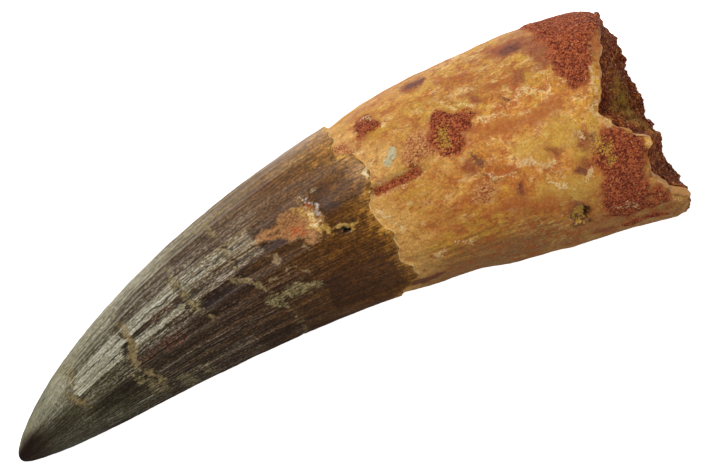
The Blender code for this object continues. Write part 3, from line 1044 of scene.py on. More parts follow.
    def wall(self, columns: np.ndarray, rim: np.ndarray) -> np.ndarray:
        """The broken wall's edge and the inside of the hollow, as rings.

        Args:
            columns: the angle of each column.
            rim: the rim's distance at each column.

        Returns:
            (rings, around, 3) places in millimetres.
        """
        inner = 1.0 - BODY.wall / BODY.half_depth(rim)
        low = BODY.wall - BODY.flat_wear
        rings = []
        for ring in range(1, self.wall_rings + 1):
            share = ring / self.wall_rings
            scale = 1.0 + (inner - 1.0) * share
            rough = noise_at(BODY.point(rim, columns, scale), 1.3, 91.0, 2)
            sunk = 0.5 * math.sin(math.pi * share) * rough
            place = BODY.point(rim + sunk, columns, scale)
            place[:, 2] = np.maximum(place[:, 2], low * share)
            rings.append(place)
        for ring in range(1, self.cavity_rings + 1):
            share = 1.0 - ring / (self.cavity_rings + 1.0)
            distance = BODY.cavity_from + (rim - BODY.cavity_from) * share
            place = BODY.point(distance, columns, inner * share**BODY.cavity_fullness)
            place[:, 2] = np.maximum(place[:, 2], low)
            rings.append(place)
        return np.stack(rings)

    def plate_tone(self, distance: np.ndarray, degrees: np.ndarray) -> np.ndarray:
        """Finds how pale each plate of enamel is, from about -1.1 to 1.6, painted light included.

        Args:
            distance: millimetres from the tip.
            degrees: the places round the section.

        Returns:
            One tone for each place.
        """
        places = BODY.straightened(distance, degrees)
        ragged = noise_at(places, 2.0, 13.0, 2)
        along = distance + 0.9 * ragged
        turned = degrees + 1.1 * ragged
        flute = np.floor(turned / (360.0 / FLUTE_COUNT)).astype(int) % FLUTE_COUNT
        cracks = [
            np.interp(degrees, [point[1] for point in crack], [point[0] for point in crack])
            for crack in (TIP_CRACK, FIRST_CRACK, LAST_CRACK)
        ]
        segment = sum((distance > crack).astype(int) for crack in cracks)
        draw = np.random.default_rng(self.seed)
        by_flute = draw.uniform(-1.0, 1.0, FLUTE_COUNT)
        by_plate = draw.uniform(-1.0, 1.0, (FLUTE_COUNT, len(cracks) + 1))
        tone = -0.64 + 0.24 * by_flute[flute] + 0.2 * by_plate[flute, segment]
        facing = np.radians(degrees)
        # Partly paler enamel, partly painted light: lighter towards the outer bend, which faces the
        # lamp, most of all before 40 mm.
        outer = 1.75 - 0.75 * smooth_step(distance, 40.0, 60.0)
        tone += outer * np.clip(np.cos(facing), 0.0, 1.0) ** 1.6
        tone += 0.2 * np.clip(-np.cos(facing), 0.0, 1.0)
        tone = tone + 0.35 * noise_at(places, 9.0, 17.0, 2)
        tip = 1.0 - smooth_step(along, 15.0, 18.5)
        inner_side = smooth_step(degrees, 95.0, 120.0)
        at_tip = -0.45 + 0.35 * inner_side + 1.7 * np.clip(np.cos(facing) + 0.15, 0.0, 1.0)
        tone = tone + (at_tip - tone) * tip
        for level, start, end, first, last in PLATES:
            inside = smooth_step(along, start - 0.25, start + 0.25)
            inside *= 1.0 - smooth_step(along, end - 0.25, end + 0.25)
            inside *= smooth_step(turned, first - 0.8, first + 0.8)
            inside *= 1.0 - smooth_step(turned, last - 0.8, last + 0.8)
            tone = tone + (level - tone) * inside
        away = np.clip(1.2 - np.cos(facing), 0.0, 1.0) * (1.0 - 0.8 * inner_side)
        return tone - 1.8 * away * (1.0 - smooth_step(distance, 2.0, 9.0))

    def build(self, enamel: bpy.types.Material, dentine: bpy.types.Material) -> bpy.types.Object:
        """Makes the tooth's mesh, with its attributes, flutes and materials.

        Args:
            enamel: the crown's material.
            dentine: the root's material.

        Returns:
            The finished object.
        """
        distance, degrees, edge, rim = self.grid()
        shape = distance.shape
        flat = [rows.ravel() for rows in (distance, degrees, edge, rim)]
        depths = mark_depths(flat[0], flat[1])
        # The straight groove in the root keeps its clean outline, with a thin cream border.
        chipped = 0.3 * noise_at(BODY.straightened(flat[0], flat[1]), 0.9, 5.0, 2)
        groove = ROOT_GROOVE.depth(flat[0], flat[1]) + chipped
        depths[Kind.SAND] = np.maximum(depths[Kind.SAND], groove)
        depths[Kind.CREAM] = np.maximum(depths[Kind.CREAM], 0.02 - np.abs(groove + 0.2))
        raised = self.relief(*flat, depths)
        outside = BODY.point(flat[0], flat[1], raised=raised).reshape(*shape, 3)
        outside[..., 2] = np.maximum(outside[..., 2], 0.0)
        wall = self.wall(degrees[0], rim[0])
        tip = BODY.point(np.zeros(1), np.zeros(1))[0]
        tip[2] = 0.0
        apex = BODY.point(np.array([BODY.cavity_from]), np.zeros(1), 0.0)[0]
        mesh = mesh_from_rings("tooth_body", np.concatenate([outside, wall]), tip, apex)
        inside = len(mesh.vertices) - distance.size
        mesh.materials.append(dentine)
        store(mesh, "straight", self.with_inside(BODY.straightened(flat[0], flat[1]), wall))
        values = {
            "turn": flat[1] / 360.0,
            "to_edge": flat[0] - flat[2],
            "to_rim": flat[3] - flat[0],
            "tone": self.plate_tone(flat[0], flat[1]),
            "amber": self.amber(*flat[:3]),
            "fluted": self.fluted(flat[0], flat[2], depths),
            "grit": self.grit(depths, flat[0], flat[1])
            * smooth_step(outside[..., 2].ravel(), 0.4, 0.8),
        }
        values |= {kind.value: np.clip(depth, -3.0, 3.0) for kind, depth in depths.items()}
        ends = {"to_edge": 40.0, "to_rim": -1.0, "turn": 0.0}
        for name, row in values.items():
            fill = ends.get(name, -3.0 if name in {kind.value for kind in Kind} else 0.0)
            rest = np.full(inside, fill)
            if name == Kind.SAND.value:
                rest[:-2] = np.tile(3.0 * np.cos(np.radians(degrees[0] + 5.0)) - 2.2, len(wall))
            store(mesh, name, np.concatenate([row, rest]))
        on_crown = np.zeros(len(mesh.vertices), bool)
        on_crown[: self.crown_rings * self.around] = True
        on_crown[len(mesh.vertices) - 2] = True
        mesh.attributes.new("on_crown", "BOOLEAN", "POINT").data.foreach_set("value", on_crown)
        made = bpy.data.objects.new("tooth_body", mesh)
        bpy.context.scene.collection.objects.link(made)
        Flutes().cut(made, enamel)
        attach(made, "root")
        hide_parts("tooth")
        LOG.info("tooth_body: %d faces", len(made.data.polygons))
        return made

    def with_inside(self, skin: np.ndarray, wall: np.ndarray) -> np.ndarray:
        """Adds pattern places for the wall, the hollow and the two poles.

        Args:
            skin: (n, 3) straightened coordinates of the outside.
            wall: (rings, around, 3) places of the wall and the hollow.

        Returns:
            (m, 3) coordinates, one for each vertex of the tooth.
        """
        root_end = (BODY.length, 0.0, 0.0)
        return np.concatenate([skin, wall.reshape(-1, 3) + root_end, [(0.0, 0.0, 0.0), root_end]])

    def amber(self, distance: np.ndarray, degrees: np.ndarray, edge: np.ndarray) -> np.ndarray:
        """Finds how far the enamel has turned to the root's colour: streaky above, crisp below.

        Args:
            distance: millimetres from the tip.
            degrees: the places round the section.
            edge: the enamel's edge there.

        Returns:
            A share from 0 to 1.
        """
        upper = smooth_step(np.cos(np.radians(degrees - 30.0)), 0.35, 0.8)
        width = 4.0 + 6.5 * upper
        along, across = unrolled(*self.tanned_lump, distance, degrees)
        lump = 1.0 - smooth_step(np.hypot(along / 4.2, across / 5.6), 0.5, 1.1)
        return np.clip(1.0 + (distance - edge) / width - 0.6 * lump, 0.0, 1.0)

    def fluted(
        self, distance: np.ndarray, edge: np.ndarray, depths: dict[Kind, np.ndarray]
    ) -> np.ndarray:
        """Finds where the flutes show.

        Args:
            distance: millimetres from the tip.
            edge: the enamel's edge there.
            depths: how far inside each kind of mark the places are.

        Returns:
            A share from 0 to 1.
        """
        bare = 1.0 - smooth_step(depths[Kind.BARE], -1.0, 0.4)
        filled = 1.0 - 0.75 * smooth_step(depths[Kind.FILLER], -0.2, 0.5)
        dirty = 1.0 - 0.5 * smooth_step(depths[Kind.OLIVE], -0.2, 0.5)
        return bare * filled * dirty * (1.0 - smooth_step(distance - edge, -3.0, 0.0))

    def grit(
        self, depths: dict[Kind, np.ndarray], distance: np.ndarray, degrees: np.ndarray
    ) -> np.ndarray:
        """Finds how thick the loose sand grains sit.

        Args:
            depths: how far inside each kind of mark the places are.
            distance: millimetres from the tip.
            degrees: the places round the section.

        Returns:
            A share from 0 to 1.
        """
        patchy = noise_at(BODY.straightened(distance, degrees), 1.5, 97.0, 2)
        thick = smooth_step(depths[Kind.SAND], -0.1, 0.5)
        thin = 0.45 * smooth_step(depths[Kind.THIN_SAND] + patchy, 0.0, 0.6)
        return np.maximum(thick, thin)


ROOT_GROOVE = Trace(0.95, ((82.5, 82.6), (85.0, 82.8), (87.9, 83.0), (90.4, 82.6)))


@dataclass
class Sandstone:
    """The red sandstone that fills the hollow, with its rough broken face."""

    around: int = 240
    face_rings: int = 66
    side_rings: int = 6
    gap: float = 0.3  # millimetres between the stone and the wall
    apex_gap: float = 1.5
    recess: float = 0.5
    bulge: float = 2.6
    fullness: float = 1.5
    lumps: float = 0.6
    lump_length: float = 5.0
    # Across, height, radius and how far it stands out, in millimetres.
    big_lumps: tuple[tuple[float, float, float, float], ...] = (
        (11.5, -3.0, 4.0, 0.9), (7.2, -3.0, 3.4, -1.8), (2.6, -4.0, 4.4, 1.4),
        (-13.0, -3.0, 4.6, 1.2),
    )

    def face(self, share: np.ndarray, degrees: np.ndarray) -> tuple[np.ndarray, np.ndarray]:
        """Places points of the broken face.

        Args:
            share: 0 at the middle and 1 at the wall.
            degrees: the places round the section.

        Returns:
            (n, 3) places and (n, 3) places in the face's own plane, in millimetres.
        """
        turn = np.radians(degrees)
        side, up = share * np.cos(turn), share * np.sin(turn)
        upper_turn = np.degrees(np.arccos(np.clip(side, -1.0, 1.0)))
        reach = np.sqrt(np.maximum(1.0 - side**2, 1e-6))
        height_share = np.clip(0.5 + 0.5 * up / reach, 0.0, 1.0)
        upper = BODY.round_the_tooth(BODY.root_rim, upper_turn)
        lower = BODY.round_the_tooth(BODY.root_rim, 360.0 - upper_turn)
        distance = lower + (upper - lower) * height_share**self.fullness
        distance = distance - self.recess + self.bulge * np.sqrt(np.maximum(1.0 - share**2, 0.0))
        place = np.stack([side, up, np.zeros_like(side)], -1)
        place = place * BODY.half_width(distance)[:, None]
        rough = self.lumps * noise_at(place, self.lump_length, 0.0)
        for across, height, radius, raised in self.big_lumps:
            away = np.hypot(place[:, 0] - across, place[:, 1] - height)
            rough += raised * (1.0 - smooth_step(away, 0.0, radius))
        fine = 0.75 * noise_at(place, 2.2, 5.0, 3) + 0.22 * noise_at(place, 0.8, 9.0, 2)
        distance = distance + (rough + fine) * (1.0 - share**4)
        rim = BODY.round_the_tooth(BODY.root_rim, degrees)
        opening = 1.0 - (BODY.wall + self.gap) / BODY.half_depth(rim)
        points = BODY.point(distance, degrees, opening * share)
        points[:, 2] = np.maximum(points[:, 2], BODY.wall + self.gap - BODY.flat_wear)
        return points, place

    def build(self, stone: bpy.types.Material) -> bpy.types.Object:
        """Makes the filling's mesh.

        Args:
            stone: its material.

        Returns:
            The finished object.
        """
        columns = 360.0 * (np.arange(self.around) + 0.5) / self.around
        rim = BODY.round_the_tooth(BODY.root_rim, columns)
        inner = 1.0 - (BODY.wall + self.gap) / BODY.half_depth(rim)
        start = BODY.cavity_from + self.apex_gap
        rings, planes = [], []
        for ring in range(1, self.side_rings + 1):
            share = ring / (self.side_rings + 1.0)
            distance = start + (rim - self.recess - start) * share
            place = BODY.point(distance, columns, inner * share**BODY.cavity_fullness)
            place[:, 2] = np.maximum(place[:, 2], BODY.wall + self.gap - BODY.flat_wear)
            rings.append(place)
            planes.append(np.zeros_like(place))
        for ring in range(self.face_rings):
            share = (1.0 - ring / self.face_rings) ** 0.9
            place, plane = self.face(np.full(self.around, share), columns)
            rings.append(place)
            planes.append(plane)
        middle, middle_plane = self.face(np.zeros(1), np.zeros(1))
        apex = BODY.point(np.array([start]), np.zeros(1), 0.0)[0]
        mesh = mesh_from_rings("sandstone_filling", np.stack(rings), apex, middle[0])
        plane = np.concatenate([np.concatenate(planes), np.zeros((1, 3)), middle_plane])
        store(mesh, "straight", plane)
        on_face = np.zeros(len(mesh.vertices))
        on_face[(self.side_rings + 1) * self.around : -2] = 1.0
        store(mesh, "grit", on_face)
        mesh.materials.append(stone)
        made = bpy.data.objects.new("sandstone_filling", mesh)
        bpy.context.scene.collection.objects.link(made)
        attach(made, "root")
        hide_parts("sandstone_fill")
        LOG.info("sandstone_filling: %d faces", len(mesh.polygons))
        return made


@dataclass(frozen=True)
class SandGrains:
    """Loose quartz grains that stick out of the sandstone, spread over a carrier's grit."""

    name: str
    per_square_mm: float
    radius: float = 0.2  # millimetres, a medium sand
    sunk: float = 0.3  # share of the radius
    smallest: tuple[float, float, float] = (0.6, 0.6, 0.5)  # times the radius
    largest: tuple[float, float, float] = (1.25, 1.15, 1.05)
    seed: int = 3

    def build(self, carrier: bpy.types.Object, grain: bpy.types.Material) -> bpy.types.Object:
        """Spreads the grains over a surface.

        Args:
            carrier: the object whose grit attribute says where they sit.
            grain: their material.

        Returns:
            One object with all of the grains.
        """
        number = "NodeSocketFloat"
        sizes = {
            "Per square metre": (number, self.per_square_mm / MM**2),
            "Radius": (number, self.radius * MM), "Sunk": (number, self.sunk * self.radius * MM),
            "Seed": ("NodeSocketInt", self.seed), "Grain": ("NodeSocketMaterial", grain),
        }
        tree, given = new_geometry_tree(self.name, sizes)
        add, size = partial(add_node, tree), given.outputs
        read = "GeometryNodeInputNamedAttribute"
        grit = add(read, {"Name": "grit"}, data_type="FLOAT").outputs[0]
        density = add(MATH, {0: grit, 1: size["Per square metre"]}, operation="MULTIPLY").outputs[0]
        spread = add("GeometryNodeDistributePointsOnFaces", {
            "Mesh": size["Geometry"], "Density": density, "Seed": size["Seed"],
        }).outputs
        depth = add(MATH, {0: size["Sunk"], 1: -1.0}, operation="MULTIPLY").outputs[0]
        offset = add(VECTOR_MATH, {0: spread["Normal"], "Scale": depth},
                     operation="SCALE").outputs[0]
        points = add("GeometryNodeSetPosition",
                     {"Geometry": spread["Points"], "Offset": offset}).outputs[0]
        ball = add("GeometryNodeMeshIcoSphere",
                   {"Radius": size["Radius"], "Subdivisions": 1}).outputs[0]
        turned = add("FunctionNodeRandomValue", {
            "Min": (0.0, 0.0, 0.0), "Max": (6.283, 6.283, 6.283), "Seed": self.seed + 1,
        }, data_type="FLOAT_VECTOR").outputs[0]
        sized = add("FunctionNodeRandomValue", {
            "Min": self.smallest, "Max": self.largest, "Seed": self.seed + 2,
        }, data_type="FLOAT_VECTOR").outputs[0]
        grains = add("GeometryNodeInstanceOnPoints", {
            "Points": points, "Instance": ball, "Rotation": turned, "Scale": sized,
        }).outputs[0]
        real = add("GeometryNodeRealizeInstances", {"Geometry": grains}).outputs[0]
        finished = add("GeometryNodeSetMaterial",
                       {"Geometry": real, "Material": size["Grain"]}).outputs[0]
        add("NodeGroupOutput", {"Geometry": finished})
        made = bpy.data.objects.new(self.name, carrier.data.copy())
        bpy.context.scene.collection.objects.link(made)
        run_tree(made, tree, sizes)
        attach(made, "root")
        LOG.info("%s: %d faces", self.name, len(made.data.polygons))
        return made


@dataclass(frozen=True)
class MineralisedEnamel:
    """Fossil enamel: glossy and brown, with lengthwise striae, filled cracks and pale plates."""

    polished: float = 0.3
    dull: float = 0.5
    ior: float = 1.62  # apatite
    specular: float = 0.16
    # The real grain and striae are about 0.2 mm, drawn up to twice as coarse so that they show.
    stria_width: float = 0.32  # millimetres
    stria_length: float = 7.0
    grain: float = 0.36
    flutes: int = FLUTE_COUNT
    stains: tuple[Layer, ...] = (
        Layer(Kind.OLIVE, "#5c5030", "#96875c", 0.5, 4.0, 0.75),
        Layer(Kind.RED, "#36120a", "#642c12", 0.6, 4.0, 0.6),
    )
    layers: tuple[Layer, ...] = (
        Layer(Kind.FILLER, "#5c4a28", "#a08c62", 0.3, 3.2, 0.8),
        Layer(Kind.BARE, "#7e4c28", "#be8c58", 0.6, 3.0, 0.95),
        Layer(Kind.IRON, "#8c3414", "#b8622e", 0.5, 4.0, 0.75),
        Layer(Kind.FLECK, "#6e5434", "#a8906c", 0.2, 2.0, 0.8),
        Layer(Kind.OCHRE, "#a8792c", "#e0ba68", 0.4, 4.0, 0.8),
        Layer(Kind.CREAM, "#c9a66c", "#ecd9a8", 0.2, 2.4, 0.9),
        # Painted highlight on the blister's front, laid over the colours below.
        Layer(Kind.CHIP, "#7a7064", "#dedad2", 0.25, 2.6, 0.85),
        # Painted shade in the sunk pits.
        Layer(Kind.PIT, "#140c06", "#2b1a08", 0.15, 0.3),
    )

    def flute_shade_lines(
        self, add: partial, place: bpy.types.NodeSocket, wander: bpy.types.NodeSocket
    ) -> bpy.types.NodeSocket:
        """Marks the painted shade, a dark line that lies along each flute's ridge.

        Args:
            add: adds a node to the material's tree.
            place: the straightened coordinates.
            wander: slow noise that bends the lines.

        Returns:
            The socket that is 1 on the lines.
        """
        apart = add(SPLIT_XYZ, {0: place})
        turn = add(MATH, {0: apart.outputs["Z"], 1: apart.outputs["Y"]},
                   operation="ARCTAN2").outputs[0]
        flute = add(MATH, {0: turn, 1: self.flutes / (2.0 * math.pi), 2: wander},
                    operation="MULTIPLY_ADD").outputs[0]
        share = add(MATH, {0: flute, 1: 1.0}, operation="FLOORED_MODULO").outputs[0]
        middle = add(MATH, {0: share, 1: -0.5}, operation="ADD").outputs[0]
        away = add(MATH, {0: middle}, operation="ABSOLUTE").outputs[0]
        line = add(MAP_RANGE, {0: away, 1: 0.39, 2: 0.49},
                   interpolation_type="SMOOTHSTEP").outputs[0]
        along = apart.outputs["X"]
        grown = add(MAP_RANGE, {0: along, 1: 14.0, 2: 24.0}).outputs[0]
        faded = add(MAP_RANGE, {0: along, 1: 72.0, 2: 52.0}).outputs[0]
        ends = add(MATH, {0: grown, 1: faded}, operation="MULTIPLY").outputs[0]
        return add(MATH, {0: line, 1: ends}, operation="MULTIPLY").outputs[0]

    def build(self) -> bpy.types.Material:
        """Makes the material.

        Returns:
            The material.
        """
        made, tree, shader = new_material("mineralised_enamel")
        add = partial(add_node, tree)
        place = add(ATTRIBUTE, attribute_name="straight").outputs["Vector"]
        along = add(SPLIT_XYZ, {0: place}).outputs["X"]
        share = add(MATH, {0: along, 1: 1.0 / BODY.length}, operation="MULTIPLY")
        # Tones along the tooth: nearly black at the tip, then green-grey, brown and amber.
        dark = add(RAMP, {0: share.outputs[0]}, stops=(
            (0.0, "#260d05"), (0.05, "#24190b"), (0.14, "#29230f"), (0.22, "#241607"),
            (0.38, "#281305"), (0.47, "#371b04"), (0.55, "#4a2804"), (0.63, "#5a3406"),
        )).outputs[0]
        middle = add(RAMP, {0: share.outputs[0]}, stops=(
            (0.0, "#3a1c10"), (0.04, "#423622"), (0.15, "#4e472d"), (0.26, "#50402a"),
            (0.37, "#553c22"), (0.47, "#614019"), (0.55, "#70460f"), (0.63, "#7e500c"),
        )).outputs[0]
        pale = add(RAMP, {0: share.outputs[0]}, stops=(
            (0.0, "#6a5e42"), (0.04, "#989272"), (0.15, "#a49e82"), (0.26, "#989078"),
            (0.37, "#87795a"), (0.47, "#866c44"), (0.55, "#8c662e"), (0.62, "#9a6a22"),
        )).outputs[0]
        stretched = add(MAPPING, {
            "Vector": place,
            "Scale": (1.0 / self.stria_length, 1.0 / self.stria_width, 1.0 / self.stria_width),
        }).outputs[0]
        striae = add(NOISE, {"Vector": stretched, "Scale": 1.0, "Detail": 2.0,
                             "Roughness": 0.55}).outputs[0]
        broad = add(MAPPING, {"Vector": place, "Scale": (0.07, 0.55, 0.55)}).outputs[0]
        bands = add(NOISE, {"Vector": broad, "Scale": 1.0, "Detail": 5.0,
                            "Roughness": 0.7}).outputs[0]
        drawn_out = add(MAPPING, {"Vector": place, "Scale": (0.75, 1.0, 1.0)}).outputs[0]
        grains = add(NOISE, {"Vector": drawn_out, "Scale": 1.0 / self.grain,
                             "Detail": 2.0, "Roughness": 0.7}).outputs[0]
        fray = add(NOISE, {"Vector": place, "Scale": 0.9, "Detail": 4.0,
                           "Roughness": 0.7}).outputs[0]
        clouds = add(NOISE, {"Vector": place, "Scale": 0.3, "Detail": 6.0,
                             "Roughness": 0.72}).outputs[0]
        # The plate tone holds painted light too: the highlight band, the shadow behind the blister
        # and the lighter outer bend.
        tone = add(ATTRIBUTE, attribute_name="tone").outputs["Fac"]
        mottled = add(MATH, {0: bands, 1: 0.8, 2: tone}, operation="MULTIPLY_ADD")
        streaked = add(MATH, {0: striae, 1: 0.5, 2: mottled.outputs[0]},
                       operation="MULTIPLY_ADD").outputs[0]
        flecked = add(MATH, {0: grains, 1: 1.02, 2: streaked}, operation="MULTIPLY_ADD").outputs[0]
        lower = add(MAP_RANGE, {0: flecked, 1: 0.3, 2: 1.2}).outputs[0]
        upper = add(MAP_RANGE, {0: flecked, 1: 1.2, 2: 2.1}).outputs[0]
        skin = add(MIX, {MIX_FACTOR: lower, MIX_BELOW: dark, MIX_ABOVE: middle},
                   data_type="RGBA").outputs[MIX_COLOUR]
        skin = add(MIX, {MIX_FACTOR: upper, MIX_BELOW: skin, MIX_ABOVE: pale},
                   data_type="RGBA").outputs[MIX_COLOUR]
        # Green-grey clouds lie near the tip.
        near_tip = add(MAP_RANGE, {0: along, 1: 34.0, 2: 8.0}).outputs[0]
        past_tip = add(MAP_RANGE, {0: along, 1: 2.0, 2: 9.0, 3: 0.4}).outputs[0]
        near_tip = add(MATH, {0: near_tip, 1: past_tip}, operation="MULTIPLY").outputs[0]
        green = add(MATH, {0: near_tip, 1: clouds}, operation="MULTIPLY").outputs[0]
        greened = add(MAP_RANGE, {0: green, 1: 0.35, 2: 0.6, 4: 0.6}).outputs[0]
        skin = add(MIX, {MIX_FACTOR: greened, MIX_BELOW: skin, MIX_ABOVE: linear_colour("#4c4c33")},
                   data_type="RGBA").outputs[MIX_COLOUR]
        # Towards the root the enamel turns amber and tan in long streaks.
        amber = add(ATTRIBUTE, attribute_name="amber").outputs["Fac"]
        uneven = add(MATH, {0: striae, 1: 0.7, 2: amber}, operation="MULTIPLY_ADD").outputs[0]
        uneven = add(MATH, {0: fray, 1: 1.3, 2: uneven}, operation="MULTIPLY_ADD").outputs[0]
        swing = add(MATH, {0: uneven, 1: -1.0}, operation="ADD").outputs[0]
        patchy = add(MATH, {0: bands, 1: 1.1, 2: swing}, operation="MULTIPLY_ADD")
        turning = add(MAP_RANGE, {0: patchy.outputs[0], 1: 0.95, 2: 1.65},
                      interpolation_type="SMOOTHSTEP").outputs[0]
        tan = add(RAMP, {0: clouds}, stops=(
            (0.35, "#70450e"), (0.5, "#996620"), (0.65, "#bb8a3a"),
        )).outputs[0]
        skin = add(MIX, {MIX_FACTOR: turning, MIX_BELOW: skin, MIX_ABOVE: tan},
                   data_type="RGBA").outputs[MIX_COLOUR]
        mottle = add(MAP_RANGE, {0: grains, 1: 0.35, 2: 0.65}).outputs[0]
        for layer in self.stains:
            skin = layer.over(tree, skin, fray, mottle)
        # Stripes and flecks stand out on the crown, and softer blotches towards the root.
        stripe = add(MAP_RANGE, {0: striae, 1: 0.4, 2: 0.6, 3: 0.6, 4: 1.2}).outputs[0]
        fleck = add(MAP_RANGE, {0: grains, 1: 0.38, 2: 0.62, 3: 0.52, 4: 1.46}).outputs[0]
        shade = add(MATH, {0: stripe, 1: fleck}, operation="MULTIPLY").outputs[0]
        calm = add(MAP_RANGE, {0: along, 1: 54.0, 2: 72.0, 4: 0.35}).outputs[0]
        shade = add(MIX, {MIX_FACTOR: calm, 2: shade, 3: 0.95}).outputs[0]
        blotch = add(MAP_RANGE, {0: fray, 1: 0.36, 2: 0.62, 3: 0.62, 4: 1.3}).outputs[0]
        rootward = add(MAP_RANGE, {0: along, 1: 52.0, 2: 70.0}).outputs[0]
        blotch = add(MIX, {MIX_FACTOR: rootward, 2: 1.0, 3: blotch}).outputs[0]
        shade = add(MATH, {0: shade, 1: blotch}, operation="MULTIPLY").outputs[0]
        skin = add(VECTOR_MATH, {0: skin, "Scale": shade}, operation="SCALE").outputs[0]
        # Painted highlight: grey-white glints on tiny facets of the enamel, most on pale plates,
        # fewer on the outer bend and towards the root.
        rough_grain = add(MATH, {0: striae, 1: grains}, operation="ADD").outputs[0]
        glint_facets = add(MAP_RANGE, {0: rough_grain, 1: 1.04, 2: 1.18}).outputs[0]
        painted_glint = add(MAP_RANGE, {0: tone, 1: -0.5, 2: 1.4, 3: 0.05, 4: 1.0}).outputs[0]
        across = add(SPLIT_XYZ, {0: place}).outputs["Y"]
        bend = add(MAP_RANGE, {0: across, 1: 11.0, 2: 17.0, 3: 1.0, 4: 0.35}).outputs[0]
        less = add(MAP_RANGE, {0: along, 1: 50.0, 2: 66.0, 3: 1.0, 4: 0.3}).outputs[0]
        for factor in (bend, less, glint_facets):
            painted_glint = add(MATH, {0: painted_glint, 1: factor}, operation="MULTIPLY").outputs[0]
        skin = add(MIX, {MIX_FACTOR: painted_glint, MIX_BELOW: skin, MIX_ABOVE: linear_colour("#d0cebf")},
                   data_type="RGBA").outputs[MIX_COLOUR]
        # Painted shade: a near-black line along each flute, broken up by the bands.
        lines = self.flute_shade_lines(add, place, clouds)
        broken = add(MATH, {0: lines, 1: bands}, operation="MULTIPLY").outputs[0]
        painted_flute_shade = add(MAP_RANGE, {0: broken, 1: 0.1, 2: 0.4, 4: 0.85}).outputs[0]
        skin = add(MIX, {MIX_FACTOR: painted_flute_shade, MIX_BELOW: skin, MIX_ABOVE: linear_colour("#1c0f06")},
                   data_type="RGBA").outputs[MIX_COLOUR]
        for layer in self.layers:
            skin = layer.over(tree, skin, fray, mottle)
        tree.links.new(skin, shader.inputs["Base Color"])
        matt = (Kind.FILLER, Kind.BARE)
        filled, bare = (layer.cover(tree, fray) for layer in self.layers if layer.kind in matt)
        # Pale plates are polished and glitter, and dark ones are duller.
        gloss = add(MAP_RANGE, {0: tone, 1: -0.6, 2: 0.7, 3: self.dull,
                                4: self.polished}).outputs[0]
        rough = add(MATH, {0: filled, 1: 0.25, 2: gloss}, operation="MULTIPLY_ADD")
        rough = add(MATH, {0: bare, 1: 0.3, 2: rough.outputs[0]}, operation="MULTIPLY_ADD")
        tree.links.new(rough.outputs[0], shader.inputs["Roughness"])
        shader.inputs["IOR"].default_value = self.ior
        shader.inputs["Specular IOR Level"].default_value = self.specular
        ribbed = add(BUMP, {"Height": striae, "Distance": 0.05 * MM, "Strength": 1.0})
        grained = add(BUMP, {"Height": grains, "Distance": 0.06 * MM, "Strength": 1.0,
                             "Normal": ribbed.outputs[0]})
        tree.links.new(grained.outputs[0], shader.inputs["Normal"])
        return made


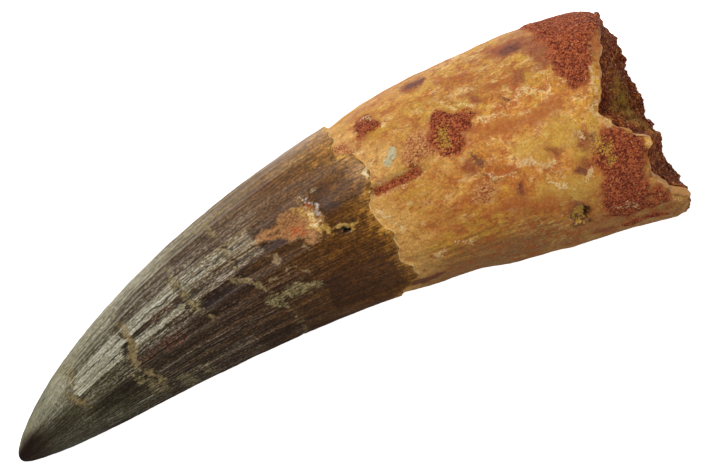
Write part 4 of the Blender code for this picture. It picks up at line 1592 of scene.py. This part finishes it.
@dataclass(frozen=True)
class MineralisedDentine:
    """Fossil dentine: a smooth waxy root stained orange, tan and yellow, with cream veins."""

    roughness: float = 0.5
    ior: float = 1.6
    specular: float = 0.25
    cloud: float = 7.0  # millimetres
    vein: float = 6.5
    sand_grain: float = 0.27
    layers: tuple[Layer, ...] = (
        Layer(Kind.LIMONITE, "#bd8f2a", "#d6b455", 1.1, 3.0, 0.5),
        Layer(Kind.IRON, "#a04e1c", "#bd6c2c", 1.0, 2.6, 0.75),
        Layer(Kind.RED, "#6e2410", "#a24f28", 0.6, 3.0, 0.75),
        Layer(Kind.MANGANESE, "#4c1d14", "#7a3a28", 0.35, 2.2, 0.85),
        Layer(Kind.THIN_SAND, "#8e3c14", "#d69a5a", 0.45, 2.4, 0.85),
        Layer(Kind.SAND, "#6a1e0c", "#cc6c3c", 0.4, 2.6),
        Layer(Kind.OCHRE, "#a8701c", "#d6ae48", 0.4, 2.6, 0.8),
        Layer(Kind.CREAM, "#cf9f5c", "#ecd09a", 0.2, 1.6, 0.75),
        Layer(Kind.CLAY, "#a59c70", "#c9c6a4", 0.3, 1.2, 0.85),
        # Painted shade in the sunk pits.
        Layer(Kind.PIT, "#120a04", "#5a400c", 0.15, 0.3),
    )

    def stain(
        self,
        tree: bpy.types.NodeTree,
        below: bpy.types.NodeSocket,
        height: bpy.types.NodeSocket,
        span: tuple[float, float],
        code: str,
        strength: float = 1.0,
    ) -> bpy.types.NodeSocket:
        """Lays one stain over the colour below, where a pattern is high.

        Args:
            tree: the material's tree.
            below: the colour that it covers.
            height: the pattern.
            span: where the stain starts and where it is full.
            code: its colour.
            strength: how much it covers at most.

        Returns:
            The colour socket.
        """
        add = partial(add_node, tree)
        reach = {0: height, 1: span[0], 2: span[1], 4: strength}
        cover = add(MAP_RANGE, reach, interpolation_type="SMOOTHSTEP").outputs[0]
        return add(MIX, {MIX_FACTOR: cover, MIX_BELOW: below, MIX_ABOVE: linear_colour(code)},
                   data_type="RGBA").outputs[MIX_COLOUR]

    def veins(
        self, add: partial, place: bpy.types.NodeSocket, spacing: float, width: float
    ) -> bpy.types.NodeSocket:
        """Thin lines where a slow noise passes its middle value.

        Args:
            add: adds a node to the material's tree.
            place: the coordinates that the veins follow.
            spacing: millimetres between veins, about.
            width: their width as a share of the noise's range.

        Returns:
            The socket that is 1 on the veins.
        """
        slow = add(NOISE, {"Vector": place, "Scale": 1.0 / spacing, "Detail": 4.0,
                           "Roughness": 0.6, "Distortion": 0.8}).outputs[0]
        off = add(MATH, {0: slow, 1: -0.5}, operation="ADD").outputs[0]
        away = add(MATH, {0: off}, operation="ABSOLUTE").outputs[0]
        return add(MAP_RANGE, {0: away, 1: width, 2: width * 0.15}).outputs[0]

    def build(self) -> bpy.types.Material:
        """Makes the material.

        Returns:
            The material.
        """
        made, tree, shader = new_material("mineralised_dentine")
        add = partial(add_node, tree)
        place = add(ATTRIBUTE, attribute_name="straight").outputs["Vector"]
        apart = add(SPLIT_XYZ, {0: place})
        to_edge = add(ATTRIBUTE, attribute_name="to_edge").outputs["Fac"]
        to_rim = add(ATTRIBUTE, attribute_name="to_rim").outputs["Fac"]
        stretched = add(MAPPING, {"Vector": place, "Scale": (0.5, 1.0, 1.0)}).outputs[0]
        clouds = add(NOISE, {"Vector": stretched, "Scale": 1.0 / self.cloud,
                             "Detail": 8.0, "Roughness": 0.7,
                             "Distortion": 0.5}).outputs[0]
        skin = add(RAMP, {0: clouds}, stops=(
            (0.28, "#8a4a10"), (0.4, "#a86822"), (0.5, "#bb7f32"), (0.6, "#c99345"),
            (0.74, "#d8aa66"),
        )).outputs[0]
        far = add(MAPPING, {"Vector": place, "Location": (40.0, 7.0, 3.0)}).outputs[0]
        yellow = add(NOISE, {"Vector": far, "Scale": 0.12, "Detail": 7.0,
                             "Roughness": 0.68}).outputs[0]
        orange = add(NOISE, {"Vector": far, "Scale": 0.17, "Detail": 6.0,
                             "Roughness": 0.65, "Distortion": 1.0}).outputs[0]
        long_way = add(MAPPING, {"Vector": place, "Scale": (0.09, 0.9, 0.9)}).outputs[0]
        streaks = add(NOISE, {"Vector": long_way, "Scale": 1.0, "Detail": 5.0,
                              "Roughness": 0.65}).outputs[0]
        fine = add(NOISE, {"Vector": place, "Scale": 1.9, "Detail": 5.0,
                           "Roughness": 0.78}).outputs[0]
        grains = add(VORONOI, {"Vector": place, "Scale": 1.0 / self.sand_grain})
        grain_tone = add("ShaderNodeSeparateColor", {0: grains.outputs["Color"]}).outputs[0]
        # Yellow and orange stains, brown ribbons on the inner bend and paler skin by the enamel.
        skin = self.stain(tree, skin, yellow, (0.47, 0.61), "#c4942c", 0.72)
        skin = self.stain(tree, skin, orange, (0.5, 0.66), "#a9561a", 0.75)
        lower = add(MAP_RANGE, {0: apart.outputs["Y"], 1: -6.0, 2: -15.0}).outputs[0]
        ending = add(MAP_RANGE, {0: to_edge, 1: 26.0, 2: 36.0, 3: 1.0, 4: 0.15}).outputs[0]
        lower = add(MATH, {0: lower, 1: ending}, operation="MULTIPLY").outputs[0]
        ribbon = add(MATH, {0: streaks, 1: lower}, operation="MULTIPLY").outputs[0]
        skin = self.stain(tree, skin, ribbon, (0.28, 0.54), "#7c4610", 0.75)
        # Painted reflection: a grey-tan sheen along the edge of the inner bend.
        painted_edge_reflection = add(MAP_RANGE, {0: apart.outputs["Y"], 1: -14.5, 2: -18.5, 4: 0.5}).outputs[0]
        skin = add(MIX, {MIX_FACTOR: painted_edge_reflection, MIX_BELOW: skin,
                         MIX_ABOVE: linear_colour("#99754a")},
                   data_type="RGBA").outputs[MIX_COLOUR]
        near = add(MAP_RANGE, {0: to_edge, 1: 13.0, 2: 0.0}).outputs[0]
        fresh = add(MATH, {0: clouds, 1: near}, operation="MULTIPLY").outputs[0]
        skin = self.stain(tree, skin, fresh, (0.2, 0.54), "#d2a056", 0.85)
        rimward = add(MAP_RANGE, {0: to_edge, 1: 26.0, 2: 42.0}).outputs[0]
        greyed = add(MATH, {0: streaks, 1: rimward}, operation="MULTIPLY").outputs[0]
        skin = self.stain(tree, skin, greyed, (0.4, 0.7), "#ac8248", 0.55)
        # Cream veins branch over it, and fine brown lines lie between them.
        patched = self.veins(add, stretched, self.vein, 0.014)
        veined = add(MAP_RANGE, {0: to_edge, 1: 10.0, 2: 26.0, 3: 0.35, 4: 1.0}).outputs[0]
        for factor in (veined, yellow):
            patched = add(MATH, {0: patched, 1: factor}, operation="MULTIPLY").outputs[0]
        skin = self.stain(tree, skin, patched, (0.2, 0.6), "#e0bc7c", 0.6)
        small = self.veins(add, far, self.vein / 3.0, 0.03)
        dotted = add(MATH, {0: small, 1: fine}, operation="MULTIPLY").outputs[0]
        skin = self.stain(tree, skin, dotted, (0.3, 0.6), "#8a5220", 0.5)
        # Small crystals of calcite and specks of iron mottle it, most towards the broken end.
        speckle = add(NOISE, {"Vector": stretched, "Scale": 0.7, "Detail": 5.0,
                              "Roughness": 0.72}).outputs[0]
        other = add(NOISE, {"Vector": far, "Scale": 0.6, "Detail": 5.0,
                            "Roughness": 0.72}).outputs[0]
        spread = add(MAP_RANGE, {0: to_edge, 1: 4.0, 2: 22.0, 3: 0.9}).outputs[0]
        above = add(MAP_RANGE, {0: apart.outputs["Y"], 1: -14.0, 2: -6.0, 3: 0.86})
        pale = add(MATH, {0: spread, 1: speckle}, operation="MULTIPLY").outputs[0]
        pale = add(MATH, {0: pale, 1: above.outputs[0]}, operation="MULTIPLY").outputs[0]
        skin = self.stain(tree, skin, pale, (0.5, 0.66), "#dfbf84", 0.55)
        iron = add(MATH, {0: spread, 1: other}, operation="MULTIPLY").outputs[0]
        skin = self.stain(tree, skin, iron, (0.46, 0.62), "#a0501a", 0.8)
        light = add(MAP_RANGE, {0: fine, 1: 0.36, 2: 0.64, 3: 0.68, 4: 1.4}).outputs[0]
        # Painted light: the ridge that lies on top is made up to a quarter lighter, most of all
        # halfway along the root.
        top = add(MAP_RANGE, {0: apart.outputs["Z"], 1: 15.5, 2: 18.5}).outputs[0]
        painted_top_light = add(MATH, {0: top, 1: veined}, operation="MULTIPLY").outputs[0]
        painted_top_light = add(MAP_RANGE, {0: painted_top_light, 1: 0.3, 2: 1.0, 3: 1.0, 4: 1.25}).outputs[0]
        light = add(MATH, {0: light, 1: painted_top_light}, operation="MULTIPLY").outputs[0]
        skin = add(VECTOR_MATH, {0: skin, "Scale": light}, operation="SCALE").outputs[0]
        crumbs = add(MATH, {0: grain_tone, 1: 0.35, 2: fine}, operation="MULTIPLY_ADD")
        crumbs = add(MATH, {0: crumbs.outputs[0], 1: -0.17}, operation="ADD").outputs[0]
        speck = add(MAP_RANGE, {0: grain_tone, 1: 0.15, 2: 0.95}).outputs[0]
        lip = add(MAP_RANGE, {0: to_edge, 1: 1.1, 2: 0.1}).outputs[0]
        lip = add(MATH, {0: lip, 1: speckle}, operation="MULTIPLY").outputs[0]
        skin = self.stain(tree, skin, lip, (0.3, 0.56), "#dfba78", 0.6)
        # The broken wall is cream to orange.
        edge = add(MAP_RANGE, {0: to_rim, 1: 0.5, 2: 0.0}).outputs[0]
        broken_edge = add(MATH, {0: fine, 1: 0.8, 2: edge}, operation="MULTIPLY_ADD")
        skin = self.stain(tree, skin, broken_edge.outputs[0], (0.9, 1.7), "#cc9450", 0.85)
        for layer in self.layers:
            skin = layer.over(tree, skin, crumbs, speck)
        tree.links.new(skin, shader.inputs["Base Color"])
        (sand_layer,) = (layer for layer in self.layers if layer.kind is Kind.SAND)
        sandy = sand_layer.cover(tree, crumbs)
        rough = add(MAP_RANGE, {0: fine, 1: 0.3, 2: 0.7, 3: self.roughness - 0.06,
                                4: self.roughness + 0.14}).outputs[0]
        rough = add(MATH, {0: sandy, 1: 0.25, 2: rough}, operation="MULTIPLY_ADD")
        tree.links.new(rough.outputs[0], shader.inputs["Roughness"])
        shader.inputs["IOR"].default_value = self.ior
        shader.inputs["Specular IOR Level"].default_value = self.specular
        gritty = add(MATH, {0: grains.outputs["Distance"], 1: sandy},
                     operation="MULTIPLY").outputs[0]
        pores = add(BUMP, {"Height": fine, "Distance": 0.22 * MM, "Strength": 1.0})
        sand = add(BUMP, {"Height": gritty, "Distance": 0.25 * MM, "Strength": 1.0,
                          "Normal": pores.outputs[0]}, invert=True)
        tree.links.new(sand.outputs[0], shader.inputs["Normal"])
        return made


@dataclass(frozen=True)
class FerruginousSandstone:
    """Iron-red sandstone, broken: matt, rough, with grains of many browns and olive stains."""

    grain: float = 0.32  # millimetres
    roughness: float = 0.85
    specular: float = 0.12
    quartz_roughness: float = 0.55
    quartz_ior: float = 1.54
    quartz_specular: float = 0.15

    def olive_stain(
        self,
        add: partial,
        place: bpy.types.NodeSocket,
        skin: bpy.types.NodeSocket,
        patchy: bpy.types.NodeSocket,
    ) -> bpy.types.NodeSocket:
        """Lays the olive-yellow stain on the face's outer-bend half, near its upper edge.

        Args:
            add: adds a node to the material's tree.
            place: coordinates in the face's plane.
            skin: the colour below.
            patchy: noise about 0.5 that breaks the stain up.

        Returns:
            The colour socket.
        """
        centre = add(MAPPING, {"Vector": place, "Location": (-0.3, -1.5, 0.0),
                               "Scale": (0.13, 0.16, 0.0)}).outputs[0]
        reach = add(VECTOR_MATH, {0: centre}, operation="LENGTH").outputs["Value"]
        olive = add(MAP_RANGE, {0: reach, 1: 1.3, 2: 0.3}).outputs[0]
        broken = add(MAP_RANGE, {0: patchy, 1: 0.38, 2: 0.6, 3: 0.15}).outputs[0]
        for factor in (broken, 0.8):
            olive = add(MATH, {0: olive, 1: factor}, operation="MULTIPLY").outputs[0]
        return add(MIX, {MIX_FACTOR: olive, MIX_BELOW: skin, MIX_ABOVE: linear_colour("#a88630")},
                   data_type="RGBA").outputs[MIX_COLOUR]

    def build(self) -> bpy.types.Material:
        """Makes the material of the broken face.

        Returns:
            The material.
        """
        made, tree, shader = new_material("ferruginous_sandstone_broken")
        add = partial(add_node, tree)
        place = add(ATTRIBUTE, attribute_name="straight").outputs["Vector"]
        clouds = add(NOISE, {"Vector": place, "Scale": 0.4, "Detail": 6.0,
                             "Roughness": 0.7}).outputs[0]
        grains = add(VORONOI, {"Vector": place, "Scale": 1.0 / self.grain})
        tint = add("ShaderNodeSeparateColor", {0: grains.outputs["Color"]}).outputs[0]
        mixed = add(MATH, {0: tint, 1: 0.45, 2: clouds}, operation="MULTIPLY_ADD")
        skin = add(RAMP, {0: mixed.outputs[0]}, stops=(
            (0.4, "#2c0c04"), (0.58, "#561a08"), (0.72, "#74300e"), (0.86, "#96501c"),
            (1.0, "#be7c3e"),
        )).outputs[0]
        skin = self.olive_stain(add, place, skin, clouds)
        tree.links.new(skin, shader.inputs["Base Color"])
        shader.inputs["Roughness"].default_value = self.roughness
        shader.inputs["Specular IOR Level"].default_value = self.specular
        rough = add(BUMP, {"Height": grains.outputs["Distance"],
                           "Distance": 0.3 * MM, "Strength": 1.0}, invert=True)
        tree.links.new(rough.outputs[0], shader.inputs["Normal"])
        return made

    def build_grains(self) -> bpy.types.Material:
        """Makes the material of the loose grains: quartz under iron oxide, with a dull gleam.

        Returns:
            The material.
        """
        made, tree, shader = new_material("iron_coated_quartz_grains")
        add = partial(add_node, tree)
        place = add("ShaderNodeTexCoord").outputs["Object"]
        cells = add(VORONOI, {"Vector": place, "Scale": 0.8 / (self.grain * MM)})
        tint = add("ShaderNodeSeparateColor", {0: cells.outputs["Color"]}).outputs[0]
        skin = add(RAMP, {0: tint}, stops=(
            (0.0, "#320c04"), (0.3, "#681e0a"), (0.6, "#903a14"), (0.85, "#b4622a"),
            (1.0, "#d89c60"),
        )).outputs[0]
        on_face = add(ATTRIBUTE, attribute_name="straight").outputs["Vector"]
        skin = self.olive_stain(add, on_face, skin, tint)
        tree.links.new(skin, shader.inputs["Base Color"])
        shader.inputs["Roughness"].default_value = self.quartz_roughness
        shader.inputs["IOR"].default_value = self.quartz_ior
        shader.inputs["Specular IOR Level"].default_value = self.quartz_specular
        return made


@dataclass(frozen=True)
class Studio:
    """A white table, two soft lights, a glowing card and the camera straight over the tooth."""

    view_centre: tuple[float, float] = (7.38, -1.10)
    view_height: float = 729.157
    view_turn: float = -24.0
    lens: float = 200.0
    table_size: float = 4.0
    table_glow: float = 0.85
    card_glow: float = 0.6
    card_level: float = -0.0006
    card_half_width: float = 0.3
    card_length: float = 0.5
    key_place: tuple[float, float, float] = (-0.42, 0.46, 0.75)  # metres right, up and above
    key_side: float = 0.42
    key_watts: float = 9.0
    fill_place: tuple[float, float, float] = (0.7, -0.65, 0.42)
    fill_side: float = 1.0
    fill_watts: float = 6.0
    sky_glow: float = 0.12

    def camera(self) -> None:
        """Looks straight down, with the tooth turned as in the photograph."""
        seen = bpy.data.cameras.new("camera")
        seen.lens = self.lens
        seen.sensor_width = 36.0
        seen.clip_start, seen.clip_end = 0.05, 20.0
        made = bpy.data.objects.new("camera", seen)
        made.location = (*(at * MM for at in self.view_centre), self.view_height * MM)
        made.rotation_euler = (0.0, 0.0, math.radians(self.view_turn))
        bpy.context.scene.collection.objects.link(made)
        bpy.context.scene.camera = made

    def light(
        self, name: str, place: tuple[float, float, float], size: float, watts: float
    ) -> None:
        """Adds a soft square light that faces the tooth.

        Args:
            name: its name.
            place: where it hangs, in metres.
            size: the side of the square in metres.
            watts: its power.
        """
        lamp = bpy.data.lights.new(name, "AREA")
        lamp.size, lamp.energy = size, watts
        made = bpy.data.objects.new(name, lamp)
        made.location = place
        made.rotation_euler = Vector(place).to_track_quat("Z", "Y").to_euler()
        bpy.context.scene.collection.objects.link(made)

    def table(self) -> None:
        """Lays a plain white table that glows a little, as a lit white sweep does."""
        half = self.table_size / 2.0
        mesh = bpy.data.meshes.new("table")
        corners = [(-half, -half, 0.0), (half, -half, 0.0), (half, half, 0.0), (-half, half, 0.0)]
        mesh.from_pydata(corners, [], [(0, 1, 2, 3)])
        made_of, _, shader = new_material("white_acrylic_sheet")
        shader.inputs["Base Color"].default_value = linear_colour("#f4f4f4")
        shader.inputs["Roughness"].default_value = 0.6
        shader.inputs["Emission Color"].default_value = linear_colour("#ffffff")
        shader.inputs["Emission Strength"].default_value = self.table_glow
        mesh.materials.append(made_of)
        made = bpy.data.objects.new("table", mesh)
        # The real table is lit on its own: it shows white, and throws no light on the tooth.
        made.visible_diffuse = False
        made.visible_glossy = False
        made.visible_shadow = False
        bpy.context.scene.collection.objects.link(made)

    def white_card(self) -> None:
        """Lays a glowing card on the table along the tooth's outer bend, out of the camera."""
        turn = math.radians(self.view_turn)
        half, far = self.card_half_width, self.card_length
        corners = [
            (across * math.cos(turn) - up * math.sin(turn),
             across * math.sin(turn) + up * math.cos(turn), self.card_level)
            for across, up in ((-half, 0.0), (half, 0.0), (half, far), (-half, far))
        ]
        mesh = bpy.data.meshes.new("white_card")
        mesh.from_pydata(corners, [], [(0, 1, 2, 3)])
        made_of, _, shader = new_material("white_foam_board")
        shader.inputs["Emission Color"].default_value = linear_colour("#ffffff")
        shader.inputs["Emission Strength"].default_value = self.card_glow
        mesh.materials.append(made_of)
        made = bpy.data.objects.new("white_card", mesh)
        made.visible_camera = False
        made.visible_shadow = False
        bpy.context.scene.collection.objects.link(made)

    def build(self) -> None:
        """Sets up the camera, the lights, the table and the surroundings."""
        self.camera()
        self.table()
        self.white_card()
        turn = math.radians(self.view_turn)
        right = Vector((math.cos(turn), math.sin(turn), 0.0))
        up = Vector((-math.sin(turn), math.cos(turn), 0.0))
        for name, place, side, watts in (
            ("key", self.key_place, self.key_side, self.key_watts),
            ("fill", self.fill_place, self.fill_side, self.fill_watts),
        ):
            hung = place[0] * right + place[1] * up + Vector((0.0, 0.0, place[2]))
            self.light(name, tuple(hung), side, watts)
        world = bpy.data.worlds.new("surroundings")
        world.use_nodes = True
        sky = world.node_tree.nodes["Background"].inputs
        sky["Color"].default_value = linear_colour("#ffffff")
        sky["Strength"].default_value = self.sky_glow
        bpy.context.scene.world = world
        bpy.context.scene.view_settings.view_transform = "Standard"


def main() -> None:
    """Builds the tooth, its filling, the sand on both, and the studio."""
    logging.basicConfig(level=logging.INFO, format="%(name)s: %(message)s")
    enamel, dentine = MineralisedEnamel().build(), MineralisedDentine().build()
    sandstone = FerruginousSandstone()
    stone, quartz = sandstone.build(), sandstone.build_grains()
    tooth = Tooth().build(enamel, dentine)
    filling = Sandstone().build(stone)
    SandGrains("sand_on_root", 6.5, radius=0.15).build(tooth, quartz)
    SandGrains("grains_of_broken_face", 3.0, radius=0.24, seed=5).build(filling, quartz)
    Studio().build()


if __name__ == "__main__":
    main()
